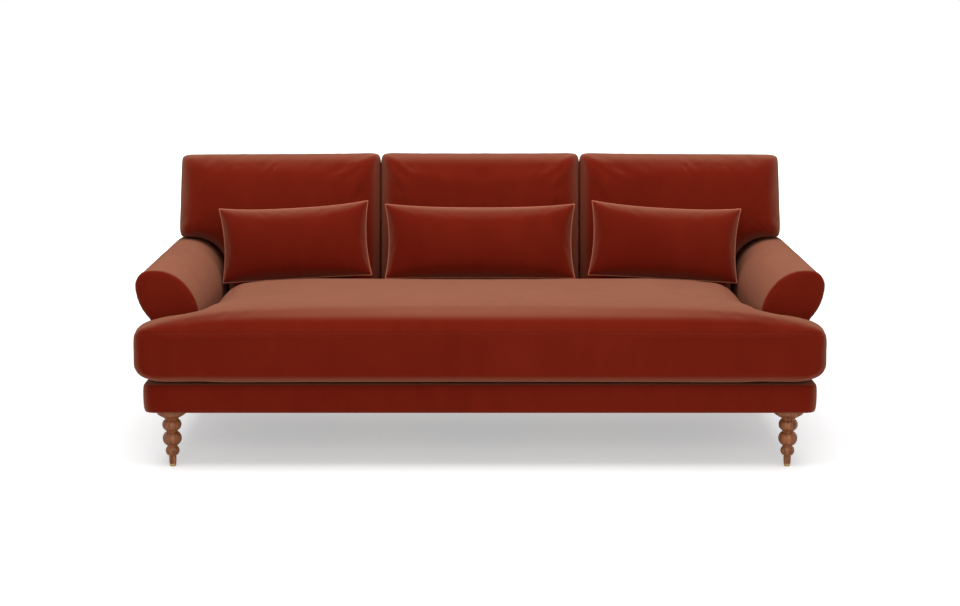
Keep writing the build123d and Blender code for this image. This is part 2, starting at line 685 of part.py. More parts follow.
def make_seat_cushion():
    """Bench cushion: cover, foam core, zip and slider."""
    inside = seat_form(COVER_THICKNESS)
    save("seat_cushion_cover", seat_form(0) - inside)
    save("seat_cushion_core", inside)
    zip_z = SEAT_FOOT + SEAT_HEIGHT * 0.4
    zip_rear = SEAT_REAR_Y + ZIP_THICKNESS
    half = ZIP_LENGTH / 2
    heights = (zip_z - ZIP_WIDTH / 2, zip_z + ZIP_WIDTH / 2)
    save("seat_zip", block((-half, half), (SEAT_REAR_Y, zip_rear), heights))
    x = -half + SLIDER_WIDTH
    slider_y = zip_rear + SLIDER_GAP
    body = block(
        (x - SLIDER_WIDTH / 2, x + SLIDER_WIDTH / 2),
        (slider_y, slider_y + SLIDER_THICKNESS),
        (zip_z - SLIDER_HEIGHT / 2, zip_z + SLIDER_HEIGHT / 2),
    )
    tab_x = SLIDER_WIDTH / 3
    tab = block(
        (x - tab_x, x + tab_x),
        (slider_y + SLIDER_THICKNESS - TAB_THICKNESS, slider_y + SLIDER_THICKNESS),
        (zip_z - TAB_LENGTH, zip_z),
    )
    save("seat_zip_slider", body + tab)


def on_slope(height, t):
    """Distance up the leaning back plane of a height above the floor, at a depth t."""
    return (height - BASE_TOP - t * LEAN_SIN) / LEAN_COS


def centre_level(t, inset):
    """One level of the middle back cushion."""
    x = CUSHION_SPLIT - CUSHION_GAP / 2 - inset
    low = -CUSHION_FOOT + inset
    high = CUSHION_HEIGHT - inset
    return outline([(-x, low), (x, low), (x, high), (-x, high)], [CUSHION_CORNER] * 4, t)


def ear_level(t, inset):
    """One level of the right back cushion, with an ear over the arm."""
    inner = CUSHION_SPLIT + CUSHION_GAP / 2 + inset
    low = -CUSHION_FOOT + inset
    high = CUSHION_HEIGHT - inset
    side = ARM_INNER - SEAT_ARM_GAP - inset
    ear_low = on_slope(BASE_TOP + ARM_HEIGHT + NOTCH_GAP, t) + inset
    points = [
        (inner, low), (side, low), (side, ear_low), (CUSHION_OUTER - inset, ear_low),
        (CUSHION_TOP_OUTER - inset, high - CUSHION_DROP), (inner, high),
    ]
    corner = CUSHION_CORNER
    reach = CUSHION_OUTER - inset - side - corner
    radii = [corner, corner, min(NOTCH_RADIUS, reach), corner * 0.7, corner, corner]
    return outline(points, radii, t)


def cushion_form(level, skin):
    """A back cushion through its levels, flat where it stands on the deck."""
    faces = []
    for depth_share, draw_share in CUSHION_LEVEL_shares:
        t = skin + (CUSHION_THICKNESS - 2 * skin) * depth_share
        faces.append(level(t, CUSHION_DRAW * draw_share + skin))
    form = BACK_PLANE * stack(faces)
    deck = BASE_TOP + REST_GAP + skin
    return form & above_height(deck)


def make_back_cushions():
    """Three loose back cushions, the outer two with ears."""
    for name, level in (("centre", centre_level), ("right", ear_level)):
        inside = cushion_form(level, COVER_THICKNESS)
        cover = cushion_form(level, 0) - inside
        save(f"back_cushion_cover_{name}", cover)
        save(f"back_cushion_fill_{name}", inside)
        if level is ear_level:
            save("back_cushion_cover_left", mirror(cover, Plane.YZ))
            save("back_cushion_fill_left", mirror(inside, Plane.YZ))


def pillow_level(width, t, inset):
    """One level of a pillow: four hollow edges between pointed corners."""
    x = width / 2 - inset
    y = PILLOW_HEIGHT / 2 - inset
    hollow = PILLOW_EDGE_HOLLOW * (1 - inset / PILLOW_DRAW)
    corners = [(-x, -y), (x, -y), (x, y), (-x, y)]
    mids = [(0, -y + hollow), (x - hollow, 0), (0, y - hollow), (-x + hollow, 0)]
    edges = [ThreePointArc(corners[i], mids[i], corners[(i + 1) % 4]) for i in range(4)]
    face = make_face(Wire(edges))
    return Pos(0, 0, t) * fillet(face.vertices(), PILLOW_CORNER)


def pillow_form(width, skin):
    """Closed lens form of a pillow, front and back halves alike."""
    faces = []
    for depth_share, draw_share in PILLOW_LEVEL_shares:
        t = (PILLOW_THICKNESS / 2 - skin) * depth_share
        faces.append(pillow_level(width, t, PILLOW_DRAW * draw_share * 0.98 + skin))
    seam = pillow_level(width, 0, skin)
    half = stack([seam] + faces)
    return half + mirror(half, Plane.XY)


def pillow_place(width, x, tilt, drop):
    """Where a pillow's middle stands: against the back cushion, on the seat's crown."""
    row = SEAT_LEVEL_shares[PILLOW_REST_LEVEL]
    rest = SEAT_FOOT + SEAT_HEIGHT * row[0] + WELT_DIAMETER / 2 + PILLOW_LIFT
    t = CUSHION_THICKNESS + REST_GAP + PILLOW_THICKNESS / 2
    s = on_slope(rest, t) + PILLOW_HEIGHT / 2 - drop
    return BACK_PLANE.location * Pos(x, s, t) * Rot(0, 0, tilt)


def make_pillows():
    """Three lumbar pillows with a cover, a fill and a welt in the seam."""
    tilt_cos = math.cos(math.radians(PILLOW_SIDE_TILT))
    tilt_sin = math.sin(math.radians(PILLOW_SIDE_TILT))
    side_x = PILLOW_OUTER - (PILLOW_SIDE_WIDTH * tilt_cos - PILLOW_HEIGHT * tilt_sin) / 2
    places = {
        "left": (PILLOW_SIDE_WIDTH, -side_x, PILLOW_SIDE_TILT, PILLOW_SIDE_DROP),
        "centre": (PILLOW_CENTRE_WIDTH, 0, 0, 0),
        "right": (PILLOW_SIDE_WIDTH, side_x, -PILLOW_SIDE_TILT, PILLOW_SIDE_DROP),
    }
    for name, (width, x, tilt, drop) in places.items():
        place = pillow_place(width, x, tilt, drop)
        inside = pillow_form(width, COVER_THICKNESS)
        seam = pillow_level(width, 0, 0).wire()
        start = Plane(origin=seam @ 0, z_dir=seam % 0)
        welt = sweep(start * Circle(WELT_DIAMETER / 2), seam)
        fold = sweep(start * Circle(WELT_DIAMETER / 2 + REST_GAP), seam)
        cover = pillow_form(width, 0) - inside - welt
        save(f"pillow_cover_{name}", place * cover)
        save(f"pillow_fill_{name}", place * (inside - fold))
        save(f"pillow_welt_{name}", place * welt)


os.makedirs("parts", exist_ok=True)
make_base()
make_deck()
make_arms()
make_back()
make_legs()
make_seat_cushion()
make_back_cushions()
make_pillows()
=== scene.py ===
"""Looks of a velvet sofa with rolled arms, a bench seat cushion, loose back cushions,
lumbar pillows and turned legs. Metres; -Y is the front and +Z is up."""
import json
import math

import bpy
import numpy as np
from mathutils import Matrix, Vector, noise
from mathutils.bvhtree import BVHTree


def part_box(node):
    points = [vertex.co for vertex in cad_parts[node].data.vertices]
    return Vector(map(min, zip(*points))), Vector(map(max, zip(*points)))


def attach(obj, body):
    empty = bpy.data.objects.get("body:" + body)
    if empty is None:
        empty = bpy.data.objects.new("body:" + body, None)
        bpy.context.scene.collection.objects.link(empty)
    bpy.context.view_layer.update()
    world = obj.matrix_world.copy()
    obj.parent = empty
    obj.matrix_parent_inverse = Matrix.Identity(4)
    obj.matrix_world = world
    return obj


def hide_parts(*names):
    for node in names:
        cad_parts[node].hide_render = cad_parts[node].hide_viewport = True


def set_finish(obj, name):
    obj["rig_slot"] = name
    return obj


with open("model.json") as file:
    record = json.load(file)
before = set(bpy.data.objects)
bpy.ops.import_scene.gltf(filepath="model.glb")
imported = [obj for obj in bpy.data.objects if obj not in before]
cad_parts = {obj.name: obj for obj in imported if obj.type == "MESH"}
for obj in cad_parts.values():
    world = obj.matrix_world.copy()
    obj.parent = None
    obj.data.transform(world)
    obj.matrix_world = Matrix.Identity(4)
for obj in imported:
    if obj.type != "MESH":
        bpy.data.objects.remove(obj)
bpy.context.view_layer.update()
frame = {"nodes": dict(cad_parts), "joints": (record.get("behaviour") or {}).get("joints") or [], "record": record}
MM = 0.001


# Shader maths


class Value:
    """A shader socket that takes part in Python sums."""

    def __init__(self, look, socket):
        self.look = look
        self.socket = socket

    def _math(self, operation, other, swap=False):
        pair = [other, self] if swap else [self, other]
        return self.look.node("ShaderNodeMath", {"operation": operation}, pair)

    def __add__(self, other):
        return self._math("ADD", other)

    def __sub__(self, other):
        return self._math("SUBTRACT", other)

    def __mul__(self, other):
        return self._math("MULTIPLY", other)

    def __rsub__(self, other):
        return self._math("SUBTRACT", other, swap=True)

    __radd__ = __add__
    __rmul__ = __mul__


class Look:
    """One material with a Principled shader."""

    def __init__(self, name):
        self.material = bpy.data.materials.new(name)
        self.material.use_nodes = True
        self.tree = self.material.node_tree
        self.shader = self.tree.nodes["Principled BSDF"]

    def node(self, kind, settings=None, inputs=(), output=0):
        """Any node: its settings first, then the values or links of its sockets."""
        made = self.tree.nodes.new(kind)
        for key, value in (settings or {}).items():
            if key == "stops":
                ramp = made.color_ramp
                while len(ramp.elements) < len(value):
                    ramp.elements.new(1)
                for element, (position, color) in zip(ramp.elements, value):
                    element.position = position
                    element.color = color
            else:
                setattr(made, key, value)
        pairs = inputs.items() if isinstance(inputs, dict) else enumerate(inputs)
        for key, value in pairs:
            if isinstance(value, Value):
                self.tree.links.new(value.socket, made.inputs[key])
            else:
                made.inputs[key].default_value = value
        return Value(self, made.outputs[output])

    def place(self):
        """Position on the piece, in metres."""
        return self.node("ShaderNodeTexCoord", output="Object")

    def stretched(self, scale):
        """Position with each axis scaled."""
        return self.node("ShaderNodeMapping", {}, {"Vector": self.place(), "Scale": scale})

    def noise(self, scale, detail=2.0, roughness=0.5, at=None):
        """Soft noise from 0 to 1."""
        at = at or self.place()
        inputs = {"Vector": at, "Scale": scale, "Detail": detail, "Roughness": roughness}
        return self.node("ShaderNodeTexNoise", {}, inputs, "Fac")

    def ramp(self, value, low, high):
        """0 below low, 1 above high."""
        inputs = {"Value": value, "From Min": low, "From Max": high}
        return self.node("ShaderNodeMapRange", {"clamp": True}, inputs)

    def mix(self, factor, first, second):
        """Mix of two colours."""
        inputs = {0: factor, 6: first, 7: second}
        return self.node("ShaderNodeMix", {"data_type": "RGBA"}, inputs, 2)

    def bump(self, height, strength, distance):
        """Normal from a height."""
        inputs = {"Strength": strength, "Distance": distance, "Height": height}
        return self.node("ShaderNodeBump", {}, inputs)

    def set(self, **sockets):
        """Values or links of the shader's own sockets."""
        for key, value in sockets.items():
            socket = self.shader.inputs[key.replace("_", " ")]
            if isinstance(value, Value):
                self.tree.links.new(value.socket, socket)
            else:
                socket.default_value = value
        return self


def linear(red, green, blue):
    """Colour from 0-255 display values to the shader's values."""
    def one(v):
        v = v / 255
        return v / 12.92 if v <= 0.04045 else ((v + 0.055) / 1.055) ** 2.4

    return (one(red), one(green), one(blue), 1.0)


# Finishes


def velvet(name, deep, light, pale):
    """Cut velvet: a dark pile seen face on, pale where it is seen along the pile."""
    look = Look(name)
    drift = look.noise(2.6, 2.0, at=look.stretched((1.0, 1.0, 0.55)))
    brush = look.noise(14.0, 3.0, at=look.stretched((1.3, 1.0, 0.5)))
    pile = look.noise(1500.0, 1.0)
    tone = look.ramp(drift * 0.6 + brush * 0.4, 0.36, 0.66)
    grain = look.ramp(pile, 0.3, 0.75)
    shade = look.mix(tone * 0.7 + grain * 0.3, deep, light)
    height = pile * 0.6 + look.noise(420.0, 2.0) * 0.5
    normal = look.bump(height, 0.12, 0.0005)
    look.set(
        Base_Color=shade,
        Roughness=0.85,
        Normal=normal,
        Sheen_Weight=0.35,
        Sheen_Roughness=0.3,
        Sheen_Tint=linear(255, 205, 170),
        Specular_IOR_Level=0.03,
    )
    along = look.node("ShaderNodeLayerWeight", {}, {"Blend": 0.5, "Normal": normal}, "Facing")
    brushed = look.ramp(brush * 0.5 + drift * 0.5, 0.3, 0.7)
    raised = look.mix(brushed * 0.6, pale, tuple(c * 0.8 for c in pale[:3]) + (1.0,))
    tips = {"Base Color": raised, "Roughness": 0.9, "Normal": normal, "Specular IOR Level": 0.02}
    tips = look.node("ShaderNodeBsdfPrincipled", {}, tips)
    pile_body = Value(look, look.shader.outputs[0])
    share = look.ramp(along, 0.07, 0.92)
    share = share * share * (3.0 - share * 2.0)
    both = look.node("ShaderNodeMixShader", {}, {0: share, 1: pile_body, 2: tips})
    look.tree.links.new(both.socket, look.tree.nodes["Material Output"].inputs["Surface"])
    return look.material


def turned_wood(name, dark, mid, light):
    """Oiled hardwood turned on a lathe, grain along the leg."""
    look = Look(name)
    grain_at = look.stretched((1.0, 1.0, 0.06))
    rings = look.noise(150.0, 4.0, 0.62, at=grain_at)
    pores = look.noise(900.0, 2.0, 0.6, at=look.stretched((1.0, 1.0, 0.035)))
    cloudy = look.noise(22.0, 2.0)
    streak = look.ramp(rings, 0.34, 0.68)
    color = look.mix(streak, dark, light)
    color = look.mix(look.ramp(cloudy, 0.3, 0.7) * 0.55, color, mid)
    pore = look.ramp(pores, 0.62, 0.72)
    color = look.mix(pore * 0.55, color, dark)
    look.set(
        Base_Color=color,
        Roughness=look.ramp(rings, 0.2, 0.8) * 0.14 + 0.36,
        Normal=look.bump(rings * 0.5 - pore * 0.8, 0.22, 0.0004),
        Specular_IOR_Level=0.35,
        Coat_Weight=0.12,
        Coat_Roughness=0.2,
    )
    return look.material


def sawn_wood(name, dark, light, along):
    """Planed frame timber with long grain along one axis."""
    look = Look(name)
    scale = [1.0, 1.0, 1.0]
    scale[along] = 0.05
    grain = look.noise(70.0, 4.0, 0.6, at=look.stretched(tuple(scale)))
    fine = look.noise(600.0, 2.0, 0.6, at=look.stretched(tuple(scale)))
    color = look.mix(look.ramp(grain * 0.75 + fine * 0.25, 0.32, 0.68), dark, light)
    look.set(Base_Color=color, Roughness=0.62 + fine * 0.12, Normal=look.bump(fine, 0.2, 0.0004))
    return look.material


def metal(name, color, rough, scratch=0.06):
    """Plain metal with fine handling marks."""
    look = Look(name)
    marks = look.noise(700.0, 3.0, 0.6, at=look.stretched((1.0, 1.0, 0.3)))
    cloud = look.noise(60.0, 2.0)
    dull = tuple(c * 0.72 for c in color[:3]) + (1.0,)
    look.set(
        Base_Color=look.mix(look.ramp(cloud, 0.35, 0.75) * 0.6, color, dull),
        Metallic=1.0,
        Roughness=marks * scratch * 2 + (rough - scratch),
        Normal=look.bump(marks, 0.08, 0.0002),
    )
    return look.material


def woven(name, dark, light, threads, bump=0.35):
    """Plain weave of two thread tones, by position, so that it needs no map."""
    look = Look(name)
    split = look.node("ShaderNodeSeparateXYZ", {}, [look.place()], "X")
    depth = Value(look, split.socket.node.outputs["Y"])
    height = Value(look, split.socket.node.outputs["Z"])

    def wave(value, phase):
        turns = value * threads * math.tau + phase
        return look.node("ShaderNodeMath", {"operation": "SINE"}, [turns])

    across = wave(split, 0.0)
    along = wave(depth + height, 0.8)
    weave = across * along * 0.5 + 0.5
    slub = look.noise(90.0, 3.0, 0.6)
    color = look.mix(look.ramp(weave * 0.7 + slub * 0.5, 0.25, 0.9), dark, light)
    look.set(
        Base_Color=color,
        Roughness=0.9,
        Normal=look.bump(weave, bump, 0.0005),
        Sheen_Weight=0.15,
        Sheen_Roughness=0.5,
    )
    return look.material


def foam(name, color, cell):
    """Open foam or felt with a fine cell."""
    look = Look(name)
    cells = look.noise(cell, 3.0, 0.7)
    dark = tuple(c * 0.72 for c in color[:3]) + (1.0,)
    look.set(
        Base_Color=look.mix(look.ramp(cells, 0.35, 0.65), dark, color),
        Roughness=0.95,
        Normal=look.bump(cells, 0.5, 0.001),
    )
    return look.material


LOOKS = {
    "velvet": velvet("sofa_velvet", linear(99, 22, 9), linear(111, 29, 14), linear(144, 92, 71)),
    # The welts are the sofa's own velvet in a paler copy: their pale colour is a painted highlight, standing for
    # the sheen along a seam's edge.
    "velvet_welt": velvet(
        "velvet_welt", linear(160, 84, 64), linear(186, 108, 86), linear(204, 150, 126)
    ),
    "leg_wood": turned_wood(
        "turned_leg_wood", linear(78, 37, 15), linear(134, 74, 36), linear(170, 103, 57)
    ),
    "brass_tips": metal("brass_tips", linear(214, 182, 120), 0.3),
    "zinc_steel": metal("zinc_steel", linear(186, 188, 192), 0.38),
    "zip_metal": metal("zip_metal", linear(190, 158, 104), 0.3),
    "frame_wood": sawn_wood("frame_wood", linear(170, 132, 88), linear(214, 182, 138), 0),
    "padding": foam("padding", linear(232, 229, 220), 240.0),
    "seat_foam": foam("seat_foam", linear(232, 222, 186), 420.0),
    "fibre_fill": foam("fibre_fill", linear(238, 237, 232), 150.0),
    "webbing": woven("webbing", linear(150, 128, 92), linear(196, 176, 140), 320.0),
    "lining_cloth": woven("lining_cloth", linear(40, 16, 12), linear(66, 28, 21), 700.0),
    "zip_tape": woven("zip_tape", linear(74, 20, 12), linear(98, 32, 22), 900.0),
}


# Mesh helpers


def smooth_faces(mesh):
    """Round shading on every face."""
    mesh.polygons.foreach_set("use_smooth", [True] * len(mesh.polygons))


def as_piece(name, mesh, slot, body):
    """An object with a mesh, its finish noted, riding on its body."""
    made = bpy.data.objects.new(name, mesh)
    bpy.context.scene.collection.objects.link(made)
    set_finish(made, slot)
    made["rides_on"] = body
    return made


def piece(name, points, faces, slot, body, smooth=True):
    """A mesh piece in its finish, riding on its body."""
    mesh = bpy.data.meshes.new(name)
    mesh.from_pydata([tuple(p) for p in points], [], faces)
    mesh.validate()
    mesh.materials.append(LOOKS[slot])
    if smooth:
        smooth_faces(mesh)
    return as_piece(name, mesh, slot, body)


def settle(made):
    """Turn a piece's modifiers into plain mesh."""
    graph = bpy.context.evaluated_depsgraph_get()
    old = made.data
    mesh = bpy.data.meshes.new_from_object(made.evaluated_get(graph))
    made.modifiers.clear()
    made.data = mesh
    mesh.name = made.name
    smooth_faces(mesh)
    bpy.data.meshes.remove(old)


def coordinates(made):
    """All points of a piece as rows."""
    flat = np.empty(len(made.data.vertices) * 3, np.float64)
    made.data.vertices.foreach_get("co", flat)
    return flat.reshape(-1, 3)


def normals(made):
    """All point normals of a piece as rows."""
    flat = np.empty(len(made.data.vertices) * 3, np.float32)
    made.data.vertex_normals.foreach_get("vector", flat)
    return flat.reshape(-1, 3).astype(np.float64)


def move_to(made, rows):
    """Put all points of a piece at these rows."""
    made.data.vertices.foreach_set("co", rows.astype(np.float32).ravel())
    made.data.update()


def even_skin(made, voxel, rounds=4):
    """Even quads all over a closed piece, its edges softened."""
    skin = made.modifiers.new("even", "REMESH")
    skin.mode = "VOXEL"
    skin.voxel_size = voxel
    soft = made.modifiers.new("soft", "SMOOTH")
    soft.factor = 0.5
    soft.iterations = rounds
    settle(made)


def subdivide(made, levels=1):
    """Finer smooth mesh."""
    fine = made.modifiers.new("fine", "SUBSURF")
    fine.levels = levels
    fine.render_levels = levels
    settle(made)


def relax(made, weight, rounds):
    """Even out a piece's surface, each point by its weight."""
    mesh = made.data
    pairs = np.empty(len(mesh.edges) * 2, np.int32)
    mesh.edges.foreach_get("vertices", pairs)
    first, second = pairs.reshape(-1, 2).T
    total = len(mesh.vertices)
    count = np.bincount(pairs, minlength=total)[:, None]
    rows = coordinates(made)
    for _ in range(rounds):
        around = np.empty_like(rows)
        for axis in range(3):
            around[:, axis] = (np.bincount(first, rows[second, axis], total)
                               + np.bincount(second, rows[first, axis], total))
        rows += (around / count - rows) * (weight[:, None] * 0.5)
    move_to(made, rows)


def keep_inside(made, low, high):
    """No point of a piece lies outside a box; None leaves a side open."""
    rows = coordinates(made)
    for axis in range(3):
        if low[axis] is not None:
            rows[:, axis] = np.maximum(rows[:, axis], low[axis])
        if high[axis] is not None:
            rows[:, axis] = np.minimum(rows[:, axis], high[axis])
    move_to(made, rows)


def puff(made, pressure, cap, hold=None, growth=0.0, frames=20):
    """Blow up a piece as cloth, but move no point further than the cap."""
    start = coordinates(made)
    if hold is not None:
        group = made.vertex_groups.new(name="held")
        for weight in np.unique(np.round(hold, 1)):
            index = np.nonzero(np.round(hold, 1) == weight)[0]
            if weight > 0:
                group.add([int(i) for i in index], float(weight), "REPLACE")
    cloth = made.modifiers.new("puff", "CLOTH")
    cloth.settings.quality = 4
    cloth.settings.mass = 0.25
    cloth.settings.tension_stiffness = 12
    cloth.settings.compression_stiffness = 12
    cloth.settings.shear_stiffness = 6
    cloth.settings.bending_stiffness = 0.6
    cloth.settings.use_pressure = True
    cloth.settings.uniform_pressure_force = pressure
    cloth.settings.shrink_min = -growth
    cloth.settings.effector_weights.gravity = 0
    if hold is not None:
        cloth.settings.vertex_group_mass = "held"
        cloth.settings.pin_stiffness = 1.0
    cloth.point_cache.frame_start = 1
    cloth.point_cache.frame_end = frames
    scene = bpy.context.scene
    for step in range(1, frames + 1):
        scene.frame_set(step)
    blown = coordinates(made.evaluated_get(bpy.context.evaluated_depsgraph_get()))
    made.modifiers.clear()
    shift = blown - start
    length = np.linalg.norm(shift, axis=1, keepdims=True)
    length = np.maximum(length, 1e-9)
    shift = np.nan_to_num(shift * (cap * np.tanh(length / cap) / length))
    move_to(made, start + shift)
    scene.frame_set(1)


def smooth_rows(rows, per_gap):
    """More rows between the given ones, on a smooth curve through them."""
    rows = np.array(rows, float)
    padded = np.vstack([2 * rows[0] - rows[1], rows, 2 * rows[-1] - rows[-2]])
    result = []
    for i in range(1, len(padded) - 2):
        a, b, c, d = padded[i - 1:i + 3]
        for t in np.linspace(0, 1, per_gap, endpoint=False):
            result.append(0.5 * (2 * b + (c - a) * t + (2 * a - 5 * b + 4 * c - d) * t * t
                                 + (3 * b - a - 3 * c + d) * t ** 3))
    result.append(rows[-1])
    return np.array(result)


def rectangle(x, low, high):
    """Corners of an outline that is alike left and right."""
    return [(-x, low), (x, low), (x, high), (-x, high)]


def at_height(ring, height):
    """A flat outline set level at a height."""
    return np.column_stack([ring, np.full(len(ring), height)])


def rounded_loop(corners, radii, arc_steps=8, line_step=0.03, counts=None):
    """Points round a closed outline with rounded corners. Counts keep like outlines alike."""
    corners = [np.array(c, float) for c in corners]
    total = len(corners)
    arcs = []
    for i, corner in enumerate(corners):
        before = corners[i - 1] - corner
        after = corners[(i + 1) % total] - corner
        before = before / np.linalg.norm(before)
        after = after / np.linalg.norm(after)
        turn = math.acos(max(-1.0, min(1.0, float(before @ after))))
        reach = radii[i] / math.tan(turn / 2)
        start = corner + before * reach
        end = corner + after * reach
        inward = (before + after) / np.linalg.norm(before + after)
        middle = corner + inward * radii[i] / math.sin(turn / 2)
        first = math.atan2(*(start - middle)[::-1])
        sweep = math.atan2(*(end - middle)[::-1]) - first
        sweep = (sweep + math.pi) % (2 * math.pi) - math.pi
        steps = [first + sweep * k / arc_steps for k in range(arc_steps + 1)]
        arcs.append([middle + radii[i] * np.array([math.cos(a), math.sin(a)]) for a in steps])
    points = []
    made_counts = []
    for i, arc in enumerate(arcs):
        points.extend(arc)
        start, end = arc[-1], arcs[(i + 1) % total][0]
        if counts:
            count = counts[i]
        else:
            count = max(1, int(round(np.linalg.norm(end - start) / line_step)))
        made_counts.append(count)
        points.extend(start + (end - start) * k / count for k in range(1, count))
    return np.array(points), made_counts


def tower(rings, ends=True):
    """Points and faces of a form through like rings, closed by flat ends or left open."""
    count = len(rings[0])
    points = np.vstack(rings)
    faces = [list(range(count))[::-1]] if ends else []
    for level in range(len(rings) - 1):
        base = level * count
        for k in range(count):
            j = (k + 1) % count
            faces.append((base + k, base + j, base + count + j, base + count + k))
    if ends:
        faces.append(list(range((len(rings) - 1) * count, len(rings) * count)))
    return points, faces


def tube(name, path, radius, slot, body, sides=8):
    """Round cord along a closed ring of points."""
    curve = bpy.data.curves.new(name, "CURVE")
    curve.dimensions = "3D"
    curve.bevel_depth = radius
    curve.bevel_resolution = max(1, sides // 4)
    spline = curve.splines.new("POLY")
    spline.points.add(len(path) - 1)
    spline.points.foreach_set("co", np.hstack([path, np.ones((len(path), 1))]).ravel())
    spline.use_cyclic_u = True
    drawn = bpy.data.objects.new(name + "_path", curve)
    bpy.context.scene.collection.objects.link(drawn)
    mesh = bpy.data.meshes.new_from_object(drawn)
    bpy.data.objects.remove(drawn)
    bpy.data.curves.remove(curve)
    mesh.name = name
    mesh.materials.clear()
    mesh.materials.append(LOOKS[slot])
    smooth_faces(mesh)
    return as_piece(name, mesh, slot, body)


def denser(path, step):
    """The same closed path with points at an even small step."""
    ring = np.vstack([path, path[:1]])
    length = np.concatenate([[0], np.cumsum(np.linalg.norm(np.diff(ring, axis=0), axis=1))])
    at = np.linspace(0, length[-1], int(length[-1] / step), endpoint=False)
    return np.column_stack([np.interp(at, length, ring[:, axis]) for axis in range(3)])


def on_surface(made, path, lift=0.0, calm=0):
    """Nearest points of a piece's surface to a closed path, raised a little and evened out."""
    tree = BVHTree.FromObject(made, bpy.context.evaluated_depsgraph_get())
    spots = [tree.find_nearest(Vector(point))[:2] for point in denser(path, 6 * MM)]
    result = np.array([spot for spot, _ in spots])
    away = np.array([normal for _, normal in spots])
    for _ in range(calm):
        result = (np.roll(result, 1, 0) + result * 2 + np.roll(result, -1, 0)) / 4
        away = (np.roll(away, 1, 0) + away * 2 + np.roll(away, -1, 0)) / 4
    return result + away * lift


def near_path(rows, path, width):
    """Weight 1 on a path, falling to 0 at some widths from it."""
    step = 4000
    path = np.asarray(path)
    gap = np.empty(len(rows))
    for i in range(0, len(rows), step):
        part = rows[i:i + step, None, :] - path[None, :, :]
        gap[i:i + step] = np.sqrt((part ** 2).sum(2).min(1))
    return np.exp(-(gap / width) ** 2)


def press_seam(made, path, depth, width):
    """Draw a piece's surface in along a seam."""
    rows = coordinates(made)
    pull = depth * near_path(rows, path, width)
    move_to(made, rows - normals(made) * pull[:, None])


def press_creases(made, creases, depth, width):
    """Press soft creases into a piece: each is a start, an end and a share of the depth."""
    rows = coordinates(made)
    direction = normals(made)
    pull = np.zeros(len(rows))
    for start, end, share in creases:
        start, end = np.array(start), np.array(end)
        along = end - start
        length = np.linalg.norm(along)
        t = np.clip((rows - start) @ along / length ** 2, 0, 1)
        gap = np.linalg.norm(rows - (start + t[:, None] * along), axis=1)
        taper = np.sin(np.clip(t, 0.02, 0.98) * math.pi) ** 0.6
        near = width * (0.6 + 0.9 * t)
        fold = np.exp(-(gap / near) ** 2) - 0.45 * np.exp(-(gap / near / 2.2) ** 2)
        pull += depth * share * taper * fold
    move_to(made, rows - direction * pull[:, None])


def finish_piece(made):
    """Hand a piece over to its body."""
    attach(made, made["rides_on"])


# Places read from the frame

BASE_LOW, BASE_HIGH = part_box("base_cover")
DECK_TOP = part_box("deck_cover")[1].z
ARM_LOW, ARM_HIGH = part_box("arm_cover_right")
FACE_LOW, FACE_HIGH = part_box("arm_face_right")
SEAT_LOW, SEAT_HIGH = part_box("seat_cushion_cover")
BACK_LOW, BACK_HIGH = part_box("back_cover")
SLOPE = Vector(next(j["axis"] for j in frame["joints"] if j["name"] == "back_cushion_centre_lift"))
LEAN_SIN, LEAN_COS = SLOPE.y, SLOPE.z
BACK_FOOT = np.array([0.0, BACK_LOW.y, BASE_HIGH.z])
UP_SLOPE = np.array([0.0, LEAN_SIN, LEAN_COS])
OUT_OF_BACK = np.array([0.0, -LEAN_COS, LEAN_SIN])


def on_back(rows):
    """Points given as across, up the slope and out of the back, placed in the frame."""
    rows = np.asarray(rows, float)
    x = rows[:, :1] * np.array([[1.0, 0.0, 0.0]])
    return BACK_FOOT + x + rows[:, 1:2] * UP_SLOPE + rows[:, 2:3] * OUT_OF_BACK


def up_slope(height, out):
    """Distance up the back's slope of a height, at a distance out of the back."""
    return (height - BACK_FOOT[2] - out * LEAN_SIN) / LEAN_COS


# Seat cushion

# Height share, then metres drawn in at the ear tip, side, front, ear rear and seat rear
SEAT_LEVELS = [
    (0.000, 0.082, 0.020, 0.046, 0.011, 0.022),
    (0.022, 0.060, 0.012, 0.028, 0.007, 0.015),
    (0.055, 0.040, 0.007, 0.011, 0.005, 0.010),
    (0.125, 0.015, 0.003, 0.001, 0.003, 0.005),
    (0.215, 0.004, 0.001, 0.000, 0.002, 0.001),
    (0.400, 0.004, 0.000, 0.000, 0.001, 0.000),
    (0.600, 0.005, 0.000, 0.001, 0.001, 0.000),
    (0.700, 0.011, 0.001, 0.004, 0.003, 0.002),
    (0.785, 0.036, 0.006, 0.010, 0.005, 0.005),
    (0.845, 0.070, 0.016, 0.018, 0.006, 0.010),
    (0.900, 0.150, 0.055, 0.034, 0.004, 0.019),
    (0.930, 0.204, 0.088, 0.056, 0.002, 0.029),
    (0.965, 0.280, 0.150, 0.100, -0.056, 0.060),
    (0.988, 0.350, 0.220, 0.165, -0.110, 0.110),
    (1.000, 0.430, 0.300, 0.220, -0.170, 0.170),
]
SEAT_EAR_Y = FACE_LOW.y - 3 * MM
SEAT_SIDE_X = FACE_LOW.x - 3 * MM
SEAT_SPARE = 2 * MM
SEAT_SEAM_SHARE = 0.695
SEAT_LOW_SEAM_SHARE = 0.045


